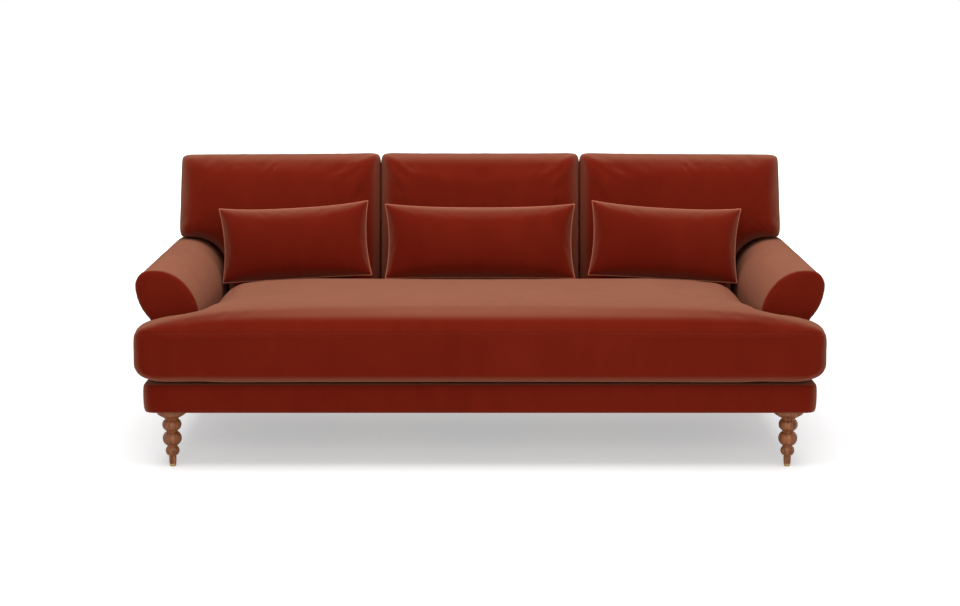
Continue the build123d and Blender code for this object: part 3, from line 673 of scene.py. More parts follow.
def seat_ring(row, spare, counts=None):
    """One level of the T-shaped seat cushion."""
    share, tip_in, side_in, front_in, ear_in, rear_in = row
    tip = SEAT_HIGH.x - tip_in - spare
    side = SEAT_SIDE_X - side_in - spare
    front = SEAT_LOW.y + front_in + spare
    ear = SEAT_EAR_Y - ear_in - spare
    rear = SEAT_HIGH.y - rear_in - spare
    height = SEAT_LOW.z + spare + (SEAT_HIGH.z - SEAT_LOW.z - 2 * spare) * share
    corners = [
        (-tip, front), (tip, front), (tip, ear), (side, ear),
        (side, rear), (-side, rear), (-side, ear), (-tip, ear),
    ]
    tip_round = min(0.034, (ear - front) * 0.45)
    ear_round = min(0.016, (tip - side) * 0.45, (ear - front) * 0.4)
    inner = min(0.010, (tip - side) * 0.4)
    radii = [tip_round, tip_round, ear_round, inner, 0.026, 0.026, inner, ear_round]
    ring, made = rounded_loop(corners, radii, 6, 0.02, counts)
    return at_height(ring, height), made


# Metres in from an edge, then the share of the crown reached there
FRONT_CROWN = [
    (0.005, 0.0), (0.008, 0.24), (0.012, 0.42), (0.020, 0.585), (0.036, 0.72), (0.06, 0.82),
    (0.10, 0.915), (0.18, 1.0),
]
REAR_CROWN = [
    (0.002, 0.0), (0.006, 0.3), (0.012, 0.49), (0.022, 0.68), (0.035, 0.77), (0.07, 0.89),
    (0.17, 1.0),
]
SIDE_CROWN = [
    (0.001, 0.05), (0.006, 0.3), (0.018, 0.5), (0.05, 0.7), (0.088, 0.8), (0.15, 0.9), (0.3, 1.0),
]
EAR_CROWN = [
    (0.0, 0.0), (0.012, 0.17), (0.034, 0.34), (0.06, 0.46), (0.117, 0.64), (0.18, 0.77),
    (0.22, 0.88), (0.30, 0.96), (0.42, 1.0),
]
EAR_TO_BODY = 0.2


def crown_height(rows, seam_height):
    """Height of the seat's crowned top, which falls off towards the arms and along the ears."""
    def reached(table, distance):
        return np.interp(distance, [row[0] for row in table], [row[1] for row in table])

    x, y = abs(rows[:, 0]), rows[:, 1]
    body = reached(SIDE_CROWN, SEAT_SIDE_X - x)
    ear = reached(EAR_CROWN, SEAT_HIGH.x - x)
    back = np.clip((y - SEAT_EAR_Y) / EAR_TO_BODY, 0, 1)
    back = back * back * (3 - 2 * back)
    share = ear + (body - ear) * back
    share = share * reached(FRONT_CROWN, y - SEAT_LOW.y) * reached(REAR_CROWN, SEAT_HIGH.y - y)
    return seam_height + (SEAT_HIGH.z - 1 * MM - seam_height) * share


def seat_cushion():
    """Boxed bench cushion with a full crown and a seam round its top."""
    spare = SEAT_SPARE
    _, counts = seat_ring(SEAT_LEVELS[5], spare)
    rings = [seat_ring(row, spare, counts)[0] for row in smooth_rows(SEAT_LEVELS, 3)]
    made = piece("seat_cushion", *tower(rings), "velvet", "seat_cushion")
    even_skin(made, 13 * MM, 3)
    seam_path = seat_seam(spare, SEAT_SEAM_SHARE, counts)
    seam_height = seam_path[0][2]
    rows = coordinates(made)
    crown = np.clip((rows[:, 2] - seam_height - 0.004) / 0.02, 0, 1)
    rows[:, 2] += (crown_height(rows, seam_height) - rows[:, 2]) * crown
    move_to(made, rows)
    relax(made, crown, 5)
    zip_low, zip_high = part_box("seat_zip")
    zip_z = (zip_low.z + zip_high.z) / 2
    zip_line = [(x, SEAT_HIGH.y, zip_z) for x in np.arange(zip_low.x, zip_high.x, 0.03)]
    rows = coordinates(made)
    held = np.maximum(near_path(rows, seam_path, 10 * MM), near_path(rows, zip_line, 40 * MM))
    puff(made, 3.0, 4 * MM, hold=held, growth=0.004)
    subdivide(made, 2)
    seam = on_surface(made, seam_path, calm=4)
    press_seam(made, seam, 1.6 * MM, 6 * MM)
    low_seam = on_surface(made, seat_seam(0, SEAT_LOW_SEAM_SHARE, counts), calm=4)
    press_seam(made, low_seam, 1.2 * MM, 6 * MM)
    keep_inside(made, (None, None, SEAT_LOW.z), (None, None, None))
    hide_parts("seat_cushion_cover", "seat_cushion_core")
    finish_piece(made)
    for name, path in (("seat_top_seam", seam), ("seat_low_seam", low_seam)):
        path = on_surface(made, path, 0.1 * MM, calm=6)
        finish_piece(tube(name, path, 1.0 * MM, "velvet", "seat_cushion", sides=6))


def seat_seam(spare, share, counts):
    """The line of a seam round the seat cushion, at a share of its height."""
    table = smooth_rows(SEAT_LEVELS, 12)
    row = table[np.argmin(abs(table[:, 0] - share))]
    return seat_ring(row, spare, counts)[0]


BLOCK_FACES = (
    (0, 2, 3, 1), (4, 5, 7, 6), (0, 1, 5, 4), (2, 6, 7, 3), (0, 4, 6, 2), (1, 3, 7, 5),
)
ZIP_PITCH = 3 * MM
TOOTH_HALF_WIDTH = 0.8 * MM
TOOTH_HALF_HEIGHT = 2.4 * MM
TOOTH_STAGGER = 0.5 * MM
TAPE_SINK = 2.6 * MM
TAPE_PROUD = 0.8 * MM
TAPE_GAP = 0.6 * MM


def seat_zip():
    """Zip across the back of the seat cushion: two tapes and a row of teeth."""
    low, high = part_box("seat_zip")
    middle = (low.z + high.z) / 2
    points, faces = [], []

    def block(x, y, z):
        base = len(points)
        points.extend((x[i], y[j], z[k]) for k in (0, 1) for j in (0, 1) for i in (0, 1))
        faces.extend(tuple(base + k for k in face) for face in BLOCK_FACES)

    for near, far in ((low.z, middle - TAPE_GAP), (middle + TAPE_GAP, high.z)):
        block((low.x, high.x), (low.y - TAPE_SINK, low.y + TAPE_PROUD), (near, far))
    tape = piece("seat_zip_tape", points, faces, "zip_tape", "seat_cushion", smooth=False)
    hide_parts("seat_zip")
    finish_piece(tape)
    points.clear()
    faces.clear()
    half = TOOTH_HALF_WIDTH
    for k, x in enumerate(np.arange(low.x + ZIP_PITCH, high.x - ZIP_PITCH, ZIP_PITCH)):
        z = middle + (TOOTH_STAGGER if k % 2 else -TOOTH_STAGGER)
        rise = (z - TOOTH_HALF_HEIGHT, z + TOOTH_HALF_HEIGHT)
        block((x - half, x + half), (low.y, high.y + 0.1 * MM), rise)
    finish_piece(piece("seat_zip_teeth", points, faces, "zip_metal", "seat_cushion", smooth=False))


# Back cushions

# Share of the thickness, share of the draw-in
CUSHION_LEVELS = [
    (0.004, 0.62), (0.02, 0.34), (0.06, 0.14), (0.14, 0.04), (0.30, 0.0), (0.48, 0.0),
    (0.60, 0.03), (0.70, 0.08), (0.79, 0.15), (0.86, 0.245), (0.915, 0.36), (0.955, 0.50),
    (0.985, 0.70), (1.0, 1.0),
]
FRONT_SEAM_SHARE = 0.56
REAR_SEAM_SHARE = 0.14
CUSHION_THICKNESS = 0.140
CUSHION_DRAW = 0.110
CUSHION_FOOT = 0.025
CUSHION_TOP = 0.6225
CUSHION_SIDE_PROUD = 8 * MM
CUSHION_ROUND = 0.014
NOTCH_RADIUS = 0.122
NOTCH_GAP = 5 * MM


def cushion_ring(side, row, spare, counts=None):
    """One level of a back cushion: side 0 is the middle one, 1 the right one."""
    out_share, draw_share = row
    inset = CUSHION_DRAW * draw_share + spare
    out = spare + (CUSHION_THICKNESS - 2 * spare) * out_share
    low = -CUSHION_FOOT + inset
    high = CUSHION_TOP - inset
    turn = CUSHION_ROUND + max(0.0, inset) * 0.9
    if side == 0:
        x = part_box("back_cushion_cover_centre")[1].x - inset
        corners = rectangle(x, low, high)
        radii = [turn] * 4
    else:
        box_low, box_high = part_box("back_cushion_cover_right")
        inner = box_low.x + inset
        body = SEAT_SIDE_X + 6 * MM - inset
        ear_low = up_slope(ARM_HIGH.z + NOTCH_GAP, out) + inset
        outer = box_high.x + CUSHION_SIDE_PROUD - inset
        corners = [
            (inner, low), (body, low), (body, ear_low), (outer, ear_low),
            (outer - 7 * MM, high - 5 * MM), (inner, high),
        ]
        notch = min(NOTCH_RADIUS, outer - body - CUSHION_ROUND)
        below = min(CUSHION_ROUND * 0.7 + inset * 0.3, 0.04)
        beside = min(turn, (high - ear_low) * 0.42)
        radii = [turn, turn, notch, below, beside, turn]
    ring, made = rounded_loop(corners, radii, 7, 0.02, counts)
    return on_back(at_height(ring, out)), made


def back_cushion(name, side):
    """Loose back cushion, crowned in front, flat where it stands on the deck."""
    spare = -1 * MM
    _, counts = cushion_ring(side, CUSHION_LEVELS[4], spare)
    rings = [cushion_ring(side, row, spare, counts)[0] for row in smooth_rows(CUSHION_LEVELS, 3)]
    body = f"back_cushion_{name}"
    made = piece(body, *tower(rings), "velvet", body)
    even_skin(made, 9 * MM, 3)
    front_seam = cushion_seam(side, FRONT_SEAM_SHARE, spare, counts)
    rear_seam = cushion_seam(side, REAR_SEAM_SHARE, spare, counts)
    rows = coordinates(made)
    held = np.maximum(near_path(rows, front_seam, 8 * MM), near_path(rows, rear_seam, 8 * MM))
    by_arm = (rows[:, 0] > SEAT_SIDE_X - 0.02) & (rows[:, 2] < ARM_HIGH.z + 0.02)
    puff(made, 4.0, 6 * MM, hold=np.maximum(held, by_arm), growth=0.006)
    relax(made, np.ones(len(held)), 2)
    subdivide(made)
    press_creases(made, cushion_creases(side), 5.0 * MM, 7 * MM)
    low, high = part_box(f"back_cushion_cover_{name}")
    reach = 1.6 * MM
    outer = high.x + (reach if side == 0 else CUSHION_SIDE_PROUD + 1 * MM)
    nearest = (low.x - reach, low.y - 1 * MM, DECK_TOP + 0.3 * MM)
    keep_inside(made, nearest, (outer, None, high.z + 5 * MM))
    rows = coordinates(made)
    behind = np.minimum((rows - BACK_FOOT) @ OUT_OF_BACK - 0.4 * MM, 0)
    move_to(made, rows - behind[:, None] * OUT_OF_BACK)
    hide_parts(f"back_cushion_cover_{name}", f"back_cushion_fill_{name}")
    finish_piece(made)
    for label, seam in (("front", front_seam), ("rear", rear_seam)):
        path = on_surface(made, seam, 0.1 * MM, calm=4)
        cord = tube(f"{body}_{label}_seam", path, 0.9 * MM, "velvet", body, sides=6)
        finish_piece(cord)
    return made


# Soft puckers below a cushion's top: across and up at both ends, then the share of the depth
CENTRE_CREASES = [
    ((-0.262, 0.608), (-0.236, 0.560), 0.7), ((-0.196, 0.612), (-0.170, 0.575), 0.5),
    ((0.226, 0.610), (0.205, 0.566), 0.6), ((0.262, 0.606), (0.250, 0.548), 0.5),
]
SIDE_CREASES = [
    ((0.418, 0.605), (0.446, 0.560), 1.0), ((0.395, 0.604), (0.404, 0.570), 0.5),
    ((0.690, 0.614), (0.715, 0.530), 0.8), ((0.746, 0.614), (0.752, 0.585), 0.8),
    ((0.790, 0.612), (0.815, 0.572), 1.0), ((0.845, 0.610), (0.875, 0.578), 0.9),
    ((0.965, 0.330), (0.945, 0.390), 0.8), ((0.925, 0.325), (0.918, 0.368), 0.5),
]


def cushion_creases(side):
    """The puckers of a cushion, placed on its front."""
    placed = []
    for start, end, share in SIDE_CREASES if side else CENTRE_CREASES:
        first, last = on_back([(*start, CUSHION_THICKNESS * 0.9), (*end, CUSHION_THICKNESS)])
        placed.append((first, last, share))
    return placed


def cushion_seam(side, share, spare, counts):
    """The line of a seam round a back cushion, at a share of its thickness."""
    table = smooth_rows(CUSHION_LEVELS, 12)
    row = table[np.argmin(abs(table[:, 0] - share))]
    return cushion_ring(side, row, spare, counts)[0]


def mirror_piece(source, name, body):
    """Copy of a piece, mirrored left to right."""
    made = as_piece(name, source.data.copy(), source["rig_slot"], body)
    rows = coordinates(made)
    rows[:, 0] *= -1
    move_to(made, rows)
    made.data.flip_normals()
    return made


# Pillows

PILLOW_HOLLOW = 0.013
PILLOW_LOW_HOLLOW = 0.002
PILLOW_TOP_PROUD = 0.008
PILLOW_SIDE_PROUD = 0.008
CENTRE_PILLOW_WIDTH = 0.638
SIDE_PILLOW_WIDTH = 0.494
PILLOW_HEIGHT = 0.242
PILLOW_THICKNESS = 0.112
PILLOW_GAP = 5 * MM
PILLOW_REAR_SHARE = 0.93
PILLOW_TILT = math.radians(3.2)


def pillow_points(width, tilt, middle, grid):
    """Front and rear sheets of a pillow over a square grid, as across, up and out."""
    u, v = grid
    hollow = np.where(v < 0, PILLOW_LOW_HOLLOW, PILLOW_HOLLOW)
    proud = np.where(v < 0, 0.0, PILLOW_TOP_PROUD)
    x = u * (width / 2 - PILLOW_HOLLOW * (1 - v ** 2))
    y = v * (PILLOW_HEIGHT / 2 + proud - hollow * (1 - abs(u) ** 2.6))
    swell = ((1 - u ** 2) * (1 - v ** 2)) ** 0.5
    edge = np.minimum((1 - abs(u)) * width / 2, (1 - abs(v)) * PILLOW_HEIGHT / 2)
    depth = (PILLOW_THICKNESS / 2 - 1.5 * MM) * swell ** 0.82 * (1 - np.exp(-edge / 0.01) * 0.2)
    across = x * math.cos(tilt) - y * math.sin(tilt) + middle[0]
    up = x * math.sin(tilt) + y * math.cos(tilt) + middle[1]
    return across, up, depth


def pillow(name, width, tilt, middle):
    """Knife-edged lumbar pillow with a fine welt in its seam."""
    columns, rows = int(width / 0.008) // 2 * 2, int(PILLOW_HEIGHT / 0.008) // 2 * 2
    u, v = np.meshgrid(np.sin(np.linspace(-1, 1, columns + 1) * math.pi / 2),
                       np.sin(np.linspace(-1, 1, rows + 1) * math.pi / 2))
    across, up, depth = pillow_points(width, tilt, middle, (u, v))
    front = np.column_stack([across.ravel(), up.ravel(), middle[2] + depth.ravel()])
    behind = middle[2] - depth.ravel() * PILLOW_REAR_SHARE
    rear = np.column_stack([across.ravel(), up.ravel(), behind])
    index = np.arange((rows + 1) * (columns + 1)).reshape(rows + 1, columns + 1)
    on_edge = np.zeros_like(index, bool)
    on_edge[0, :] = on_edge[-1, :] = on_edge[:, 0] = on_edge[:, -1] = True
    twin = index.copy()
    twin[~on_edge] = len(front) + np.arange((~on_edge).sum())
    points = np.vstack([front, rear[~on_edge.ravel()]])
    faces = []
    for i in range(rows):
        for j in range(columns):
            faces.append((index[i, j], index[i, j + 1], index[i + 1, j + 1], index[i + 1, j]))
            faces.append((twin[i, j], twin[i + 1, j], twin[i + 1, j + 1], twin[i, j + 1]))
    faces = [tuple(int(k) for k in face) for face in faces]
    body = f"pillow_{name}"
    made = piece(body, on_back(points), faces, "velvet", body)
    loop = np.concatenate([index[0, :-1], index[:-1, -1], index[-1, :0:-1], index[:0:-1, 0]])
    held = np.zeros(len(points))
    held[loop] = 1.0
    puff(made, 2.0, 3 * MM, hold=held, growth=0.004)
    seam = coordinates(made)[loop]
    subdivide(made)
    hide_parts(f"pillow_cover_{name}", f"pillow_fill_{name}")
    finish_piece(made)
    # The welt wears the pale copy of the velvet: a painted highlight along the pillow's edge.
    welt = tube(f"pillow_edge_{name}", seam, 2.1 * MM, "velvet_welt", body)
    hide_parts(f"pillow_welt_{name}")
    finish_piece(welt)


def pillows():
    """The three pillows, placed where their solids are."""
    for name, side in (("left", -1), ("centre", 0), ("right", 1)):
        low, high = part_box(f"pillow_cover_{name}")
        middle_x = (low.x + high.x) / 2
        middle_z = (low.z + high.z) / 2
        out = CUSHION_THICKNESS + PILLOW_GAP + PILLOW_THICKNESS / 2
        tilt = -side * PILLOW_TILT
        width = CENTRE_PILLOW_WIDTH if side == 0 else SIDE_PILLOW_WIDTH + PILLOW_SIDE_PROUD
        middle_x += side * PILLOW_SIDE_PROUD / 2
        pillow(name, width, tilt, (middle_x, up_slope(middle_z, out), out))


# Arms

ARM_ROLL = [
    (0.000, 0.100), (0.089, 0.490), (0.220, 0.730), (0.440, 0.933), (0.740, 1.000),
    (0.920, 0.920), (1.000, 0.653), (0.945, 0.330), (0.780, 0.007),
]
ARM_ROLL_HEIGHT = 0.149
ARM_PANEL_WIDTH = 0.142
ARM_COVER_Y = FACE_HIGH.y
ARM_SPLAY = 10 * MM


def arc_through(first, middle, last, steps):
    """Points on the arc through three points, without the last."""
    (ax, ay), (bx, by), (cx, cy) = first, middle, last
    d = 2 * (ax * (by - cy) + bx * (cy - ay) + cx * (ay - by))
    a2, b2, c2 = ax * ax + ay * ay, bx * bx + by * by, cx * cx + cy * cy
    ux = (a2 * (by - cy) + b2 * (cy - ay) + c2 * (ay - by)) / d
    uy = (a2 * (cx - bx) + b2 * (ax - cx) + c2 * (bx - ax)) / d
    radius = math.hypot(ax - ux, ay - uy)
    start, mid, end = [math.atan2(y - uy, x - ux) for x, y in (first, middle, last)]
    sweep = (end - start) % math.tau
    if (mid - start) % math.tau > sweep:
        sweep -= math.tau
    angles = [start + sweep * k / steps for k in range(steps)]
    return [(ux + radius * math.cos(a), uy + radius * math.sin(a)) for a in angles]


def arm_outline(grow=0.0):
    """The right arm from the front, from its inner foot round to its outer foot."""
    width = ARM_HIGH.x - ARM_LOW.x
    roll = [
        (ARM_LOW.x + width * x, ARM_HIGH.z - ARM_ROLL_HEIGHT * (1 - z)) for x, z in ARM_ROLL
    ]
    points = [(ARM_LOW.x, ARM_LOW.z)]
    for k in range(1, 10):
        points.append((ARM_LOW.x, ARM_LOW.z + (roll[0][1] - ARM_LOW.z) * k / 10))
    for i in range(0, len(roll) - 1, 2):
        points.extend(arc_through(*roll[i:i + 3], 9))
    outer = (ARM_LOW.x + ARM_PANEL_WIDTH, roll[-1][1] - ARM_ROLL_HEIGHT * 0.15)
    points.append(roll[-1])
    points.append(outer)
    for k in range(1, 11):
        points.append((outer[0], outer[1] + (ARM_LOW.z - outer[1]) * k / 10))
    points = np.array(points)
    if grow:
        ahead = np.roll(points, -1, 0) - np.roll(points, 1, 0)
        ahead /= np.linalg.norm(ahead, axis=1, keepdims=True)
        points = points + np.column_stack([-ahead[:, 1], ahead[:, 0]]) * grow
        points[:, 1] = np.maximum(points[:, 1], ARM_LOW.z)
    return points


def back_plane_y(height):
    """Where the front of the back frame stands at a height."""
    return BACK_FOOT[1] + (height - BACK_FOOT[2]) * LEAN_SIN / LEAN_COS


# Share of the face's depth, then millimetres outside the arm's outline
ARM_FACE_LEVELS = [
    (0.0, -10), (0.03, -5), (0.12, -1.5), (0.3, 1.4), (0.5, 2.8), (0.75, 3.2), (0.95, 3.2),
    (1.0, 2.6),
]


def arms():
    """Rolled arms: the velvet wrapped along the roll and a padded panel on the face."""
    outline = arm_outline(1.2 * MM)
    rings = []
    for t in np.linspace(0, 1, 16):
        front = ARM_COVER_Y - 3 * MM
        y = front + (back_plane_y(outline[:, 1]) - front) * t
        rings.append(np.column_stack([outline[:, 0] + ARM_SPLAY * t, y, outline[:, 1]]))
    cover = piece("arm_velvet_right", *tower(rings), "velvet", "frame")
    even_skin(cover, 9 * MM, 3)
    wobble(cover, 0.8 * MM, 5.0)
    subdivide(cover)
    depth = ARM_COVER_Y - FACE_LOW.y
    rings = []
    for share, grow in ARM_FACE_LEVELS:
        wide = arm_outline(grow * MM)
        y = FACE_LOW.y + 1.5 * MM + depth * share
        rings.append(np.column_stack([wide[:, 0], np.full(len(wide), y), wide[:, 1]]))
    face = piece("arm_panel_right", *tower(rings), "velvet", "frame")
    even_skin(face, 5 * MM, 4)
    held = np.clip((coordinates(face)[:, 1] - FACE_LOW.y - 4 * MM) / 0.006, 0, 1)
    puff(face, 3.0, 2 * MM, hold=held, growth=0.006)
    subdivide(face)
    pairs = ((cover, ("arm_cover", "arm_padding"), 0.5), (face, ("arm_face",), 0.4))
    for made, nodes, fill in pairs:
        twin = mirror_piece(made, made.name.replace("right", "left"), "frame")
        for each, side in ((made, "right"), (twin, "left")):
            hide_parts(*[f"{node}_{side}" for node in nodes])
            finish_piece(each)


# Back frame's cover


BACK_THICKNESS = 0.046
BACK_SOFT_EDGE = 0.014
BACK_CORNER = 0.040


def back_ring(inset, out, corner, counts=None, rise=0.0):
    """One level of the back's form, cut off level at the base's top or above it by a rise."""
    x = BACK_HIGH.x - inset
    top = up_slope(BACK_HIGH.z, -BACK_THICKNESS) - inset
    low = up_slope(BACK_FOOT[2] + 0.3 * MM, out) + rise
    radii = [2 * MM, 2 * MM, corner, corner]
    ring, counts = rounded_loop(rectangle(x, low, top), radii, 8, 0.03, counts)
    return on_back(at_height(ring, out)), counts


# Millimetres behind the back's form, then in from the panel's edge
OUTSIDE_BACK_LEVELS = [
    (-2, 0), (0, 0.6), (1.2, 4), (1.6, 12), (1.8, 28), (1.9, 50), (1.9, 80), (1.9, 115),
    (1.9, 150), (1.9, 185), (1.9, 220), (1.9, 250),
]


def back_frame_cover():
    """Cover over the leaning back, and the flat panel that closes it behind."""
    thick, soft, corner = BACK_THICKNESS, BACK_SOFT_EDGE, BACK_CORNER
    turn = 1.5 * MM
    levels = [(-thick, turn), (-thick + turn, 0.0), (-thick * 0.55, -0.4 * MM), (-soft, 0.0)]
    for k in range(1, 7):
        angle = math.pi / 2 * k / 6
        levels.append((-soft + soft * math.sin(angle), soft - soft * math.cos(angle)))
    rings, counts = [], None
    for out, inset in levels:
        ring, counts = back_ring(inset, out, corner - inset, counts)
        rings.append(ring)
    made = piece("back_velvet", *tower(rings), "velvet", "frame")
    even_skin(made, 9 * MM, 3)
    subdivide(made)
    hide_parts("back_cover", "back_padding")
    finish_piece(made)
    rings, counts = [], None
    for behind, inset in OUTSIDE_BACK_LEVELS:
        inset *= MM
        radius = min(corner - soft, 0.27 - inset)
        ring, counts = back_ring(soft + inset, -thick - behind * MM, radius, counts, rise=inset)
        rings.append(ring)
    panel = piece("outside_back_velvet", *tower(rings), "velvet", "frame")
    wobble(panel, 0.5 * MM, 6.0)
    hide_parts("outside_back_panel")
    finish_piece(panel)
    # A welt round the outside back, in the pale copy of the velvet: a painted highlight along its edge.
    edge, _ = back_ring(soft - 1 * MM, -thick - 0.2 * MM, corner - soft + 1 * MM, counts)
    finish_piece(tube("back_panel_welt", edge, 2.0 * MM, "velvet_welt", "frame"))


# Base box

BASE_LEVELS = [
    (0, 0.80), (0.03, 0.88), (0.12, 0.94), (0.28, 0.99), (0.50, 1), (0.72, 0.99),
    (0.86, 0.95), (0.925, 0.87), (0.972, 0.68), (1, 0.0),
]
BASE_BULGE = 0.031
BASE_TURN_UNDER = 0.6 * MM


def base_cover():
    """Velvet band drawn over the base box, soft on top and crisp below."""
    rings = []
    counts = None
    for share, bulge in smooth_rows(BASE_LEVELS, 2):
        inset = BASE_BULGE * (1 - bulge)
        x, front, rear = BASE_HIGH.x - inset, BASE_LOW.y + inset, BASE_HIGH.y - inset
        corners = rectangle(x, front, rear)
        height = BASE_LOW.z + (BASE_HIGH.z - BASE_LOW.z) * min(1.0, share)
        radius = 0.008 + BASE_BULGE * max(0.05, bulge)
        ring, counts = rounded_loop(corners, [radius] * 4, 8, 0.015, counts)
        rings.append(at_height(ring, height))
    lip = rings[0].copy()
    scale = np.array([(BASE_HIGH.x - 0.055) / abs(lip[:, 0]).max(), 1.0, 1.0])
    middle_y = (BASE_LOW.y + BASE_HIGH.y) / 2
    lip[:, 0] *= scale[0]
    lip[:, 1] = middle_y + (lip[:, 1] - middle_y) * 0.93
    rings.insert(0, lip)
    made = piece("base_velvet", *tower(rings, ends=False), "velvet", "frame")
    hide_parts("base_cover", "base_padding")
    wobble(made, 0.6 * MM, 7.0)
    keep_inside(made, (None, None, BASE_LOW.z), (None, None, BASE_HIGH.z))
    rows = coordinates(made)
    rows[:len(lip) * 2, 2] = BASE_LOW.z - BASE_TURN_UNDER
    move_to(made, rows)
    finish_piece(made)


# Share of the deck's height, then millimetres in from its edge
DECK_LEVELS = [
    (0.0, 5), (0.03, 1), (0.2, 0), (0.7, 0), (0.88, 1.5), (0.98, 7), (1.0, 22), (1.0, 60),
    (1.0, 100), (1.0, 160), (1.0, 220), (1.0, 290), (1.0, 350), (1.0, 385),
]


def deck():
    """Padded deck under the cushions: a lining cloth drawn over a thin pad and a felt edge."""
    low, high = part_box("deck_cover")
    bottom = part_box("deck_edge_felt")[0].z
    rings, counts = [], None
    for share, inset in DECK_LEVELS:
        inset *= MM
        x, front, rear = high.x - inset, low.y + inset, high.y - inset
        corners = rectangle(x, front, rear)
        radius = min(10 * MM, (rear - front) * 0.4)
        ring, counts = rounded_loop(corners, [radius] * 4, 4, 0.025, counts)
        rings.append(at_height(ring, bottom + (high.z - bottom) * share))
    made = piece("deck_cloth", *tower(rings), "lining_cloth", "frame")
    wobble(made, 0.5 * MM, 16.0)
    keep_inside(made, (None, None, bottom), (None, None, high.z))
    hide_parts("deck_cover", "deck_pad", "deck_edge_felt")
    finish_piece(made)


def cloth_panel(name, across, along, cut, low, thick, sag):
    """Thin stretched cloth over a grid of places, without the cells that are cut out."""
    nx, ny = len(across), len(along)
    shares = np.outer(np.sin(np.linspace(0, math.pi, ny)), np.sin(np.linspace(0, math.pi, nx)))
    x, y = np.meshgrid(across, along)
    lift = np.array([noise.noise(Vector((a, b, 0.3)) * 9.0) for a, b in zip(x.ravel(), y.ravel())])
    z = low - shares.ravel() * (sag + lift * 0.6 * MM)
    faces_z = (z, z + thick)
    points = np.vstack([np.column_stack([x.ravel(), y.ravel(), level]) for level in faces_z])
    total = nx * ny
    kept = {(i, j) for i in range(nx - 1) for j in range(ny - 1)
            if not cut((across[i] + across[i + 1]) / 2, (along[j] + along[j + 1]) / 2)}
    faces = []
    for i, j in kept:
        a, b, c, d = j * nx + i, j * nx + i + 1, (j + 1) * nx + i + 1, (j + 1) * nx + i
        faces.append((a, d, c, b))
        faces.append((a + total, b + total, c + total, d + total))
        sides = (
            ((a, b), (i, j - 1)), ((b, c), (i + 1, j)), ((c, d), (i, j + 1)), ((d, a), (i - 1, j)),
        )
        for (p, q), beside in sides:
            if beside not in kept:
                faces.append((p, q, q + total, p + total))
    used = sorted({k for face in faces for k in face})
    place = {old: new for new, old in enumerate(used)}
    faces = [tuple(place[k] for k in face) for face in faces]
    made = piece(name, points[used], faces, "lining_cloth", "frame")
    area = sum((across[i + 1] - across[i]) * (along[j + 1] - along[j]) for i, j in kept)
    return made, area


LEG_PLATE_REACH = 78 * MM
STRETCHER_WIDTH = 45 * MM
DUST_COVER_SAG = 2 * MM


def dust_covers():
    """Thin cloth stapled under the base in three panels, cut out at the leg blocks."""
    low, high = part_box("dust_cover")
    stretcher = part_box("seat_stretchers")[1].x
    plate = LEG_PLATE_REACH
    inner = stretcher - STRETCHER_WIDTH
    notch = high.x - plate
    front, rear = low.y + plate, high.y - plate
    along = np.concatenate([np.linspace(low.y, front, 4), np.linspace(front, rear, 16)[1:-1],
                            np.linspace(rear, high.y, 4)])
    thick = high.z - low.z

    def cut(x, y):
        return abs(x) > notch and (y < front or y > rear)

    outer = np.concatenate([np.linspace(stretcher, notch, 15)[:-1], np.linspace(notch, high.x, 4)])
    spans = (("left", -outer[::-1]), ("centre", np.linspace(-inner, inner, 18)), ("right", outer))
    first = None
    for name, across in spans:
        made, area = cloth_panel(
            f"dust_cover_{name}", across, along, cut, low.z, thick, DUST_COVER_SAG
        )
        if first is None:
            first = made
            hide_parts("dust_cover")
        finish_piece(made)


def wobble(made, size, scale):
    """Slow uneven drift of a cloth surface."""
    rows = coordinates(made)
    drift = np.array([noise.noise(Vector(p) * scale) for p in rows])
    move_to(made, rows + normals(made) * (drift * size)[:, None])


def dress_frame_nodes():
    """Finish on every solid that keeps its shape."""
    slots = {row["node"]: row["material_slot"] for row in frame["record"]["subparts"]}
    for name, node in frame["nodes"].items():
        node.data.materials.clear()
        node.data.materials.append(LOOKS[slots[name]])


# Stage


FLOOR_HALF = 60.0
FOCAL_PIXELS = 1850
PHOTO_WIDTH_PIXELS = 960
CAMERA_PLACE = (0.0, -5.973, 1.467)
CAMERA_LOOKS_DOWN = 9.753


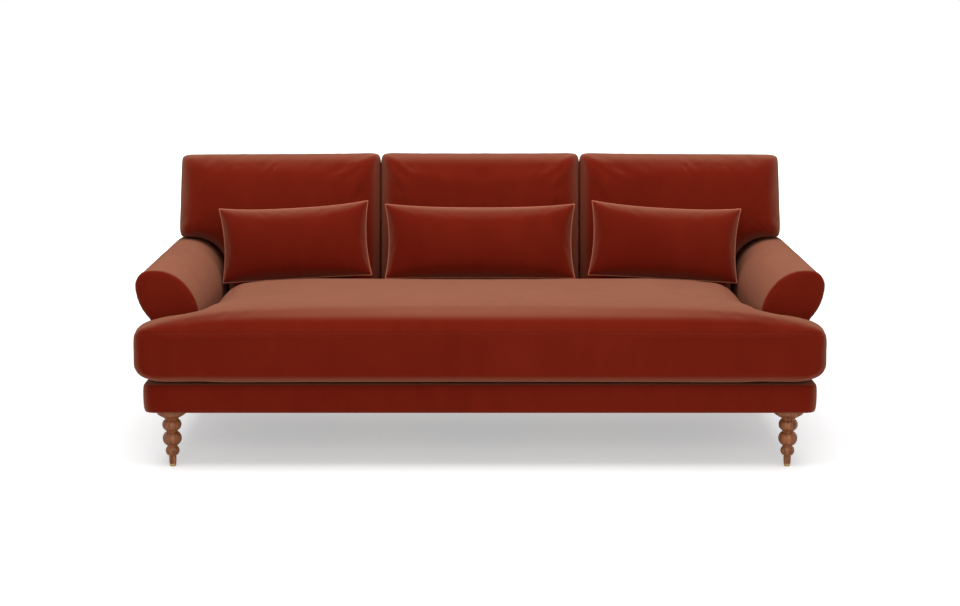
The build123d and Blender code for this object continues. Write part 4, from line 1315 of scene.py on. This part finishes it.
def stage():
    """White floor with a soft shadow, pale surroundings, soft lamps and the camera."""
    scene = bpy.context.scene
    size = FLOOR_HALF
    floor_mesh = bpy.data.meshes.new("floor")
    corners = [(-size, -size, 0), (size, -size, 0), (size, size, 0), (-size, size, 0)]
    floor_mesh.from_pydata(corners, [], [(0, 1, 2, 3)])
    floor = bpy.data.objects.new("floor", floor_mesh)
    scene.collection.objects.link(floor)
    floor.location.z = -0.2 * MM
    look = Look("white_floor")
    look.set(Base_Color=(0.86, 0.86, 0.86, 1), Roughness=0.9, Specular_IOR_Level=0.0)
    rays = look.node("ShaderNodeLightPath", output="Is Camera Ray")
    far = look.node("ShaderNodeVectorMath", {"operation": "LENGTH"}, [look.place()], 1)
    far = look.ramp(far, 1.6, 5.0)
    shine = look.mix(rays * (far * 0.652 + 0.348), (0, 0, 0, 1), (1, 1, 1, 1))
    look.set(Emission_Color=shine, Emission_Strength=1.15)
    floor_mesh.materials.append(look.material)

    world = bpy.data.worlds.new("studio")
    scene.world = world
    world.use_nodes = True
    tree = world.node_tree
    background = tree.nodes["Background"]
    paths = tree.nodes.new("ShaderNodeLightPath")
    seen = tree.nodes.new("ShaderNodeMath")
    seen.operation = "MAXIMUM"
    tree.links.new(paths.outputs["Is Camera Ray"], seen.inputs[0])
    tree.links.new(paths.outputs["Is Glossy Ray"], seen.inputs[1])
    strength = tree.nodes.new("ShaderNodeMapRange")
    strength.inputs["To Min"].default_value = 0.4
    strength.inputs["To Max"].default_value = 1.0
    tree.links.new(seen.outputs[0], strength.inputs["Value"])
    tree.links.new(strength.outputs[0], background.inputs["Strength"])
    background.inputs["Color"].default_value = (1, 1, 1, 1)

    def lamp(name, place, aim, width, height, power):
        data = bpy.data.lights.new(name, "AREA")
        data.shape = "RECTANGLE"
        data.size = width
        data.size_y = height
        data.energy = power
        made = bpy.data.objects.new(name, data)
        made.location = place
        made.rotation_euler = (Vector(aim) - Vector(place)).to_track_quat("-Z", "Y").to_euler()
        scene.collection.objects.link(made)

    lamp("overhead", (0.0, -0.6, 3.4), (0.0, 0.0, 0.4), 4.5, 3.0, 118)
    lamp("front_fill", (0.0, -5.5, 2.2), (0.0, 0.0, 0.5), 5.0, 2.5, 92)

    camera_data = bpy.data.cameras.new("camera")
    camera_data.sensor_width = 36.0
    camera_data.lens = camera_data.sensor_width * FOCAL_PIXELS / PHOTO_WIDTH_PIXELS
    camera = bpy.data.objects.new("camera", camera_data)
    camera.location = CAMERA_PLACE
    camera.rotation_euler = (math.radians(90 - CAMERA_LOOKS_DOWN), 0, 0)
    scene.collection.objects.link(camera)
    scene.camera = camera
    scene.view_settings.view_transform = "Standard"


dress_frame_nodes()
seat_cushion()
seat_zip()
back_cushion("centre", 0)
right_cushion = back_cushion("right", 1)
left_cushion = mirror_piece(right_cushion, "back_cushion_left", "back_cushion_left")
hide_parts("back_cushion_cover_left", "back_cushion_fill_left")
finish_piece(left_cushion)
for ending in ("front_seam", "rear_seam"):
    drawn = bpy.data.objects[f"back_cushion_right_{ending}"]
    finish_piece(mirror_piece(drawn, f"back_cushion_left_{ending}", "back_cushion_left"))
pillows()
base_cover()
arms()
back_frame_cover()
deck()
dust_covers()
stage()
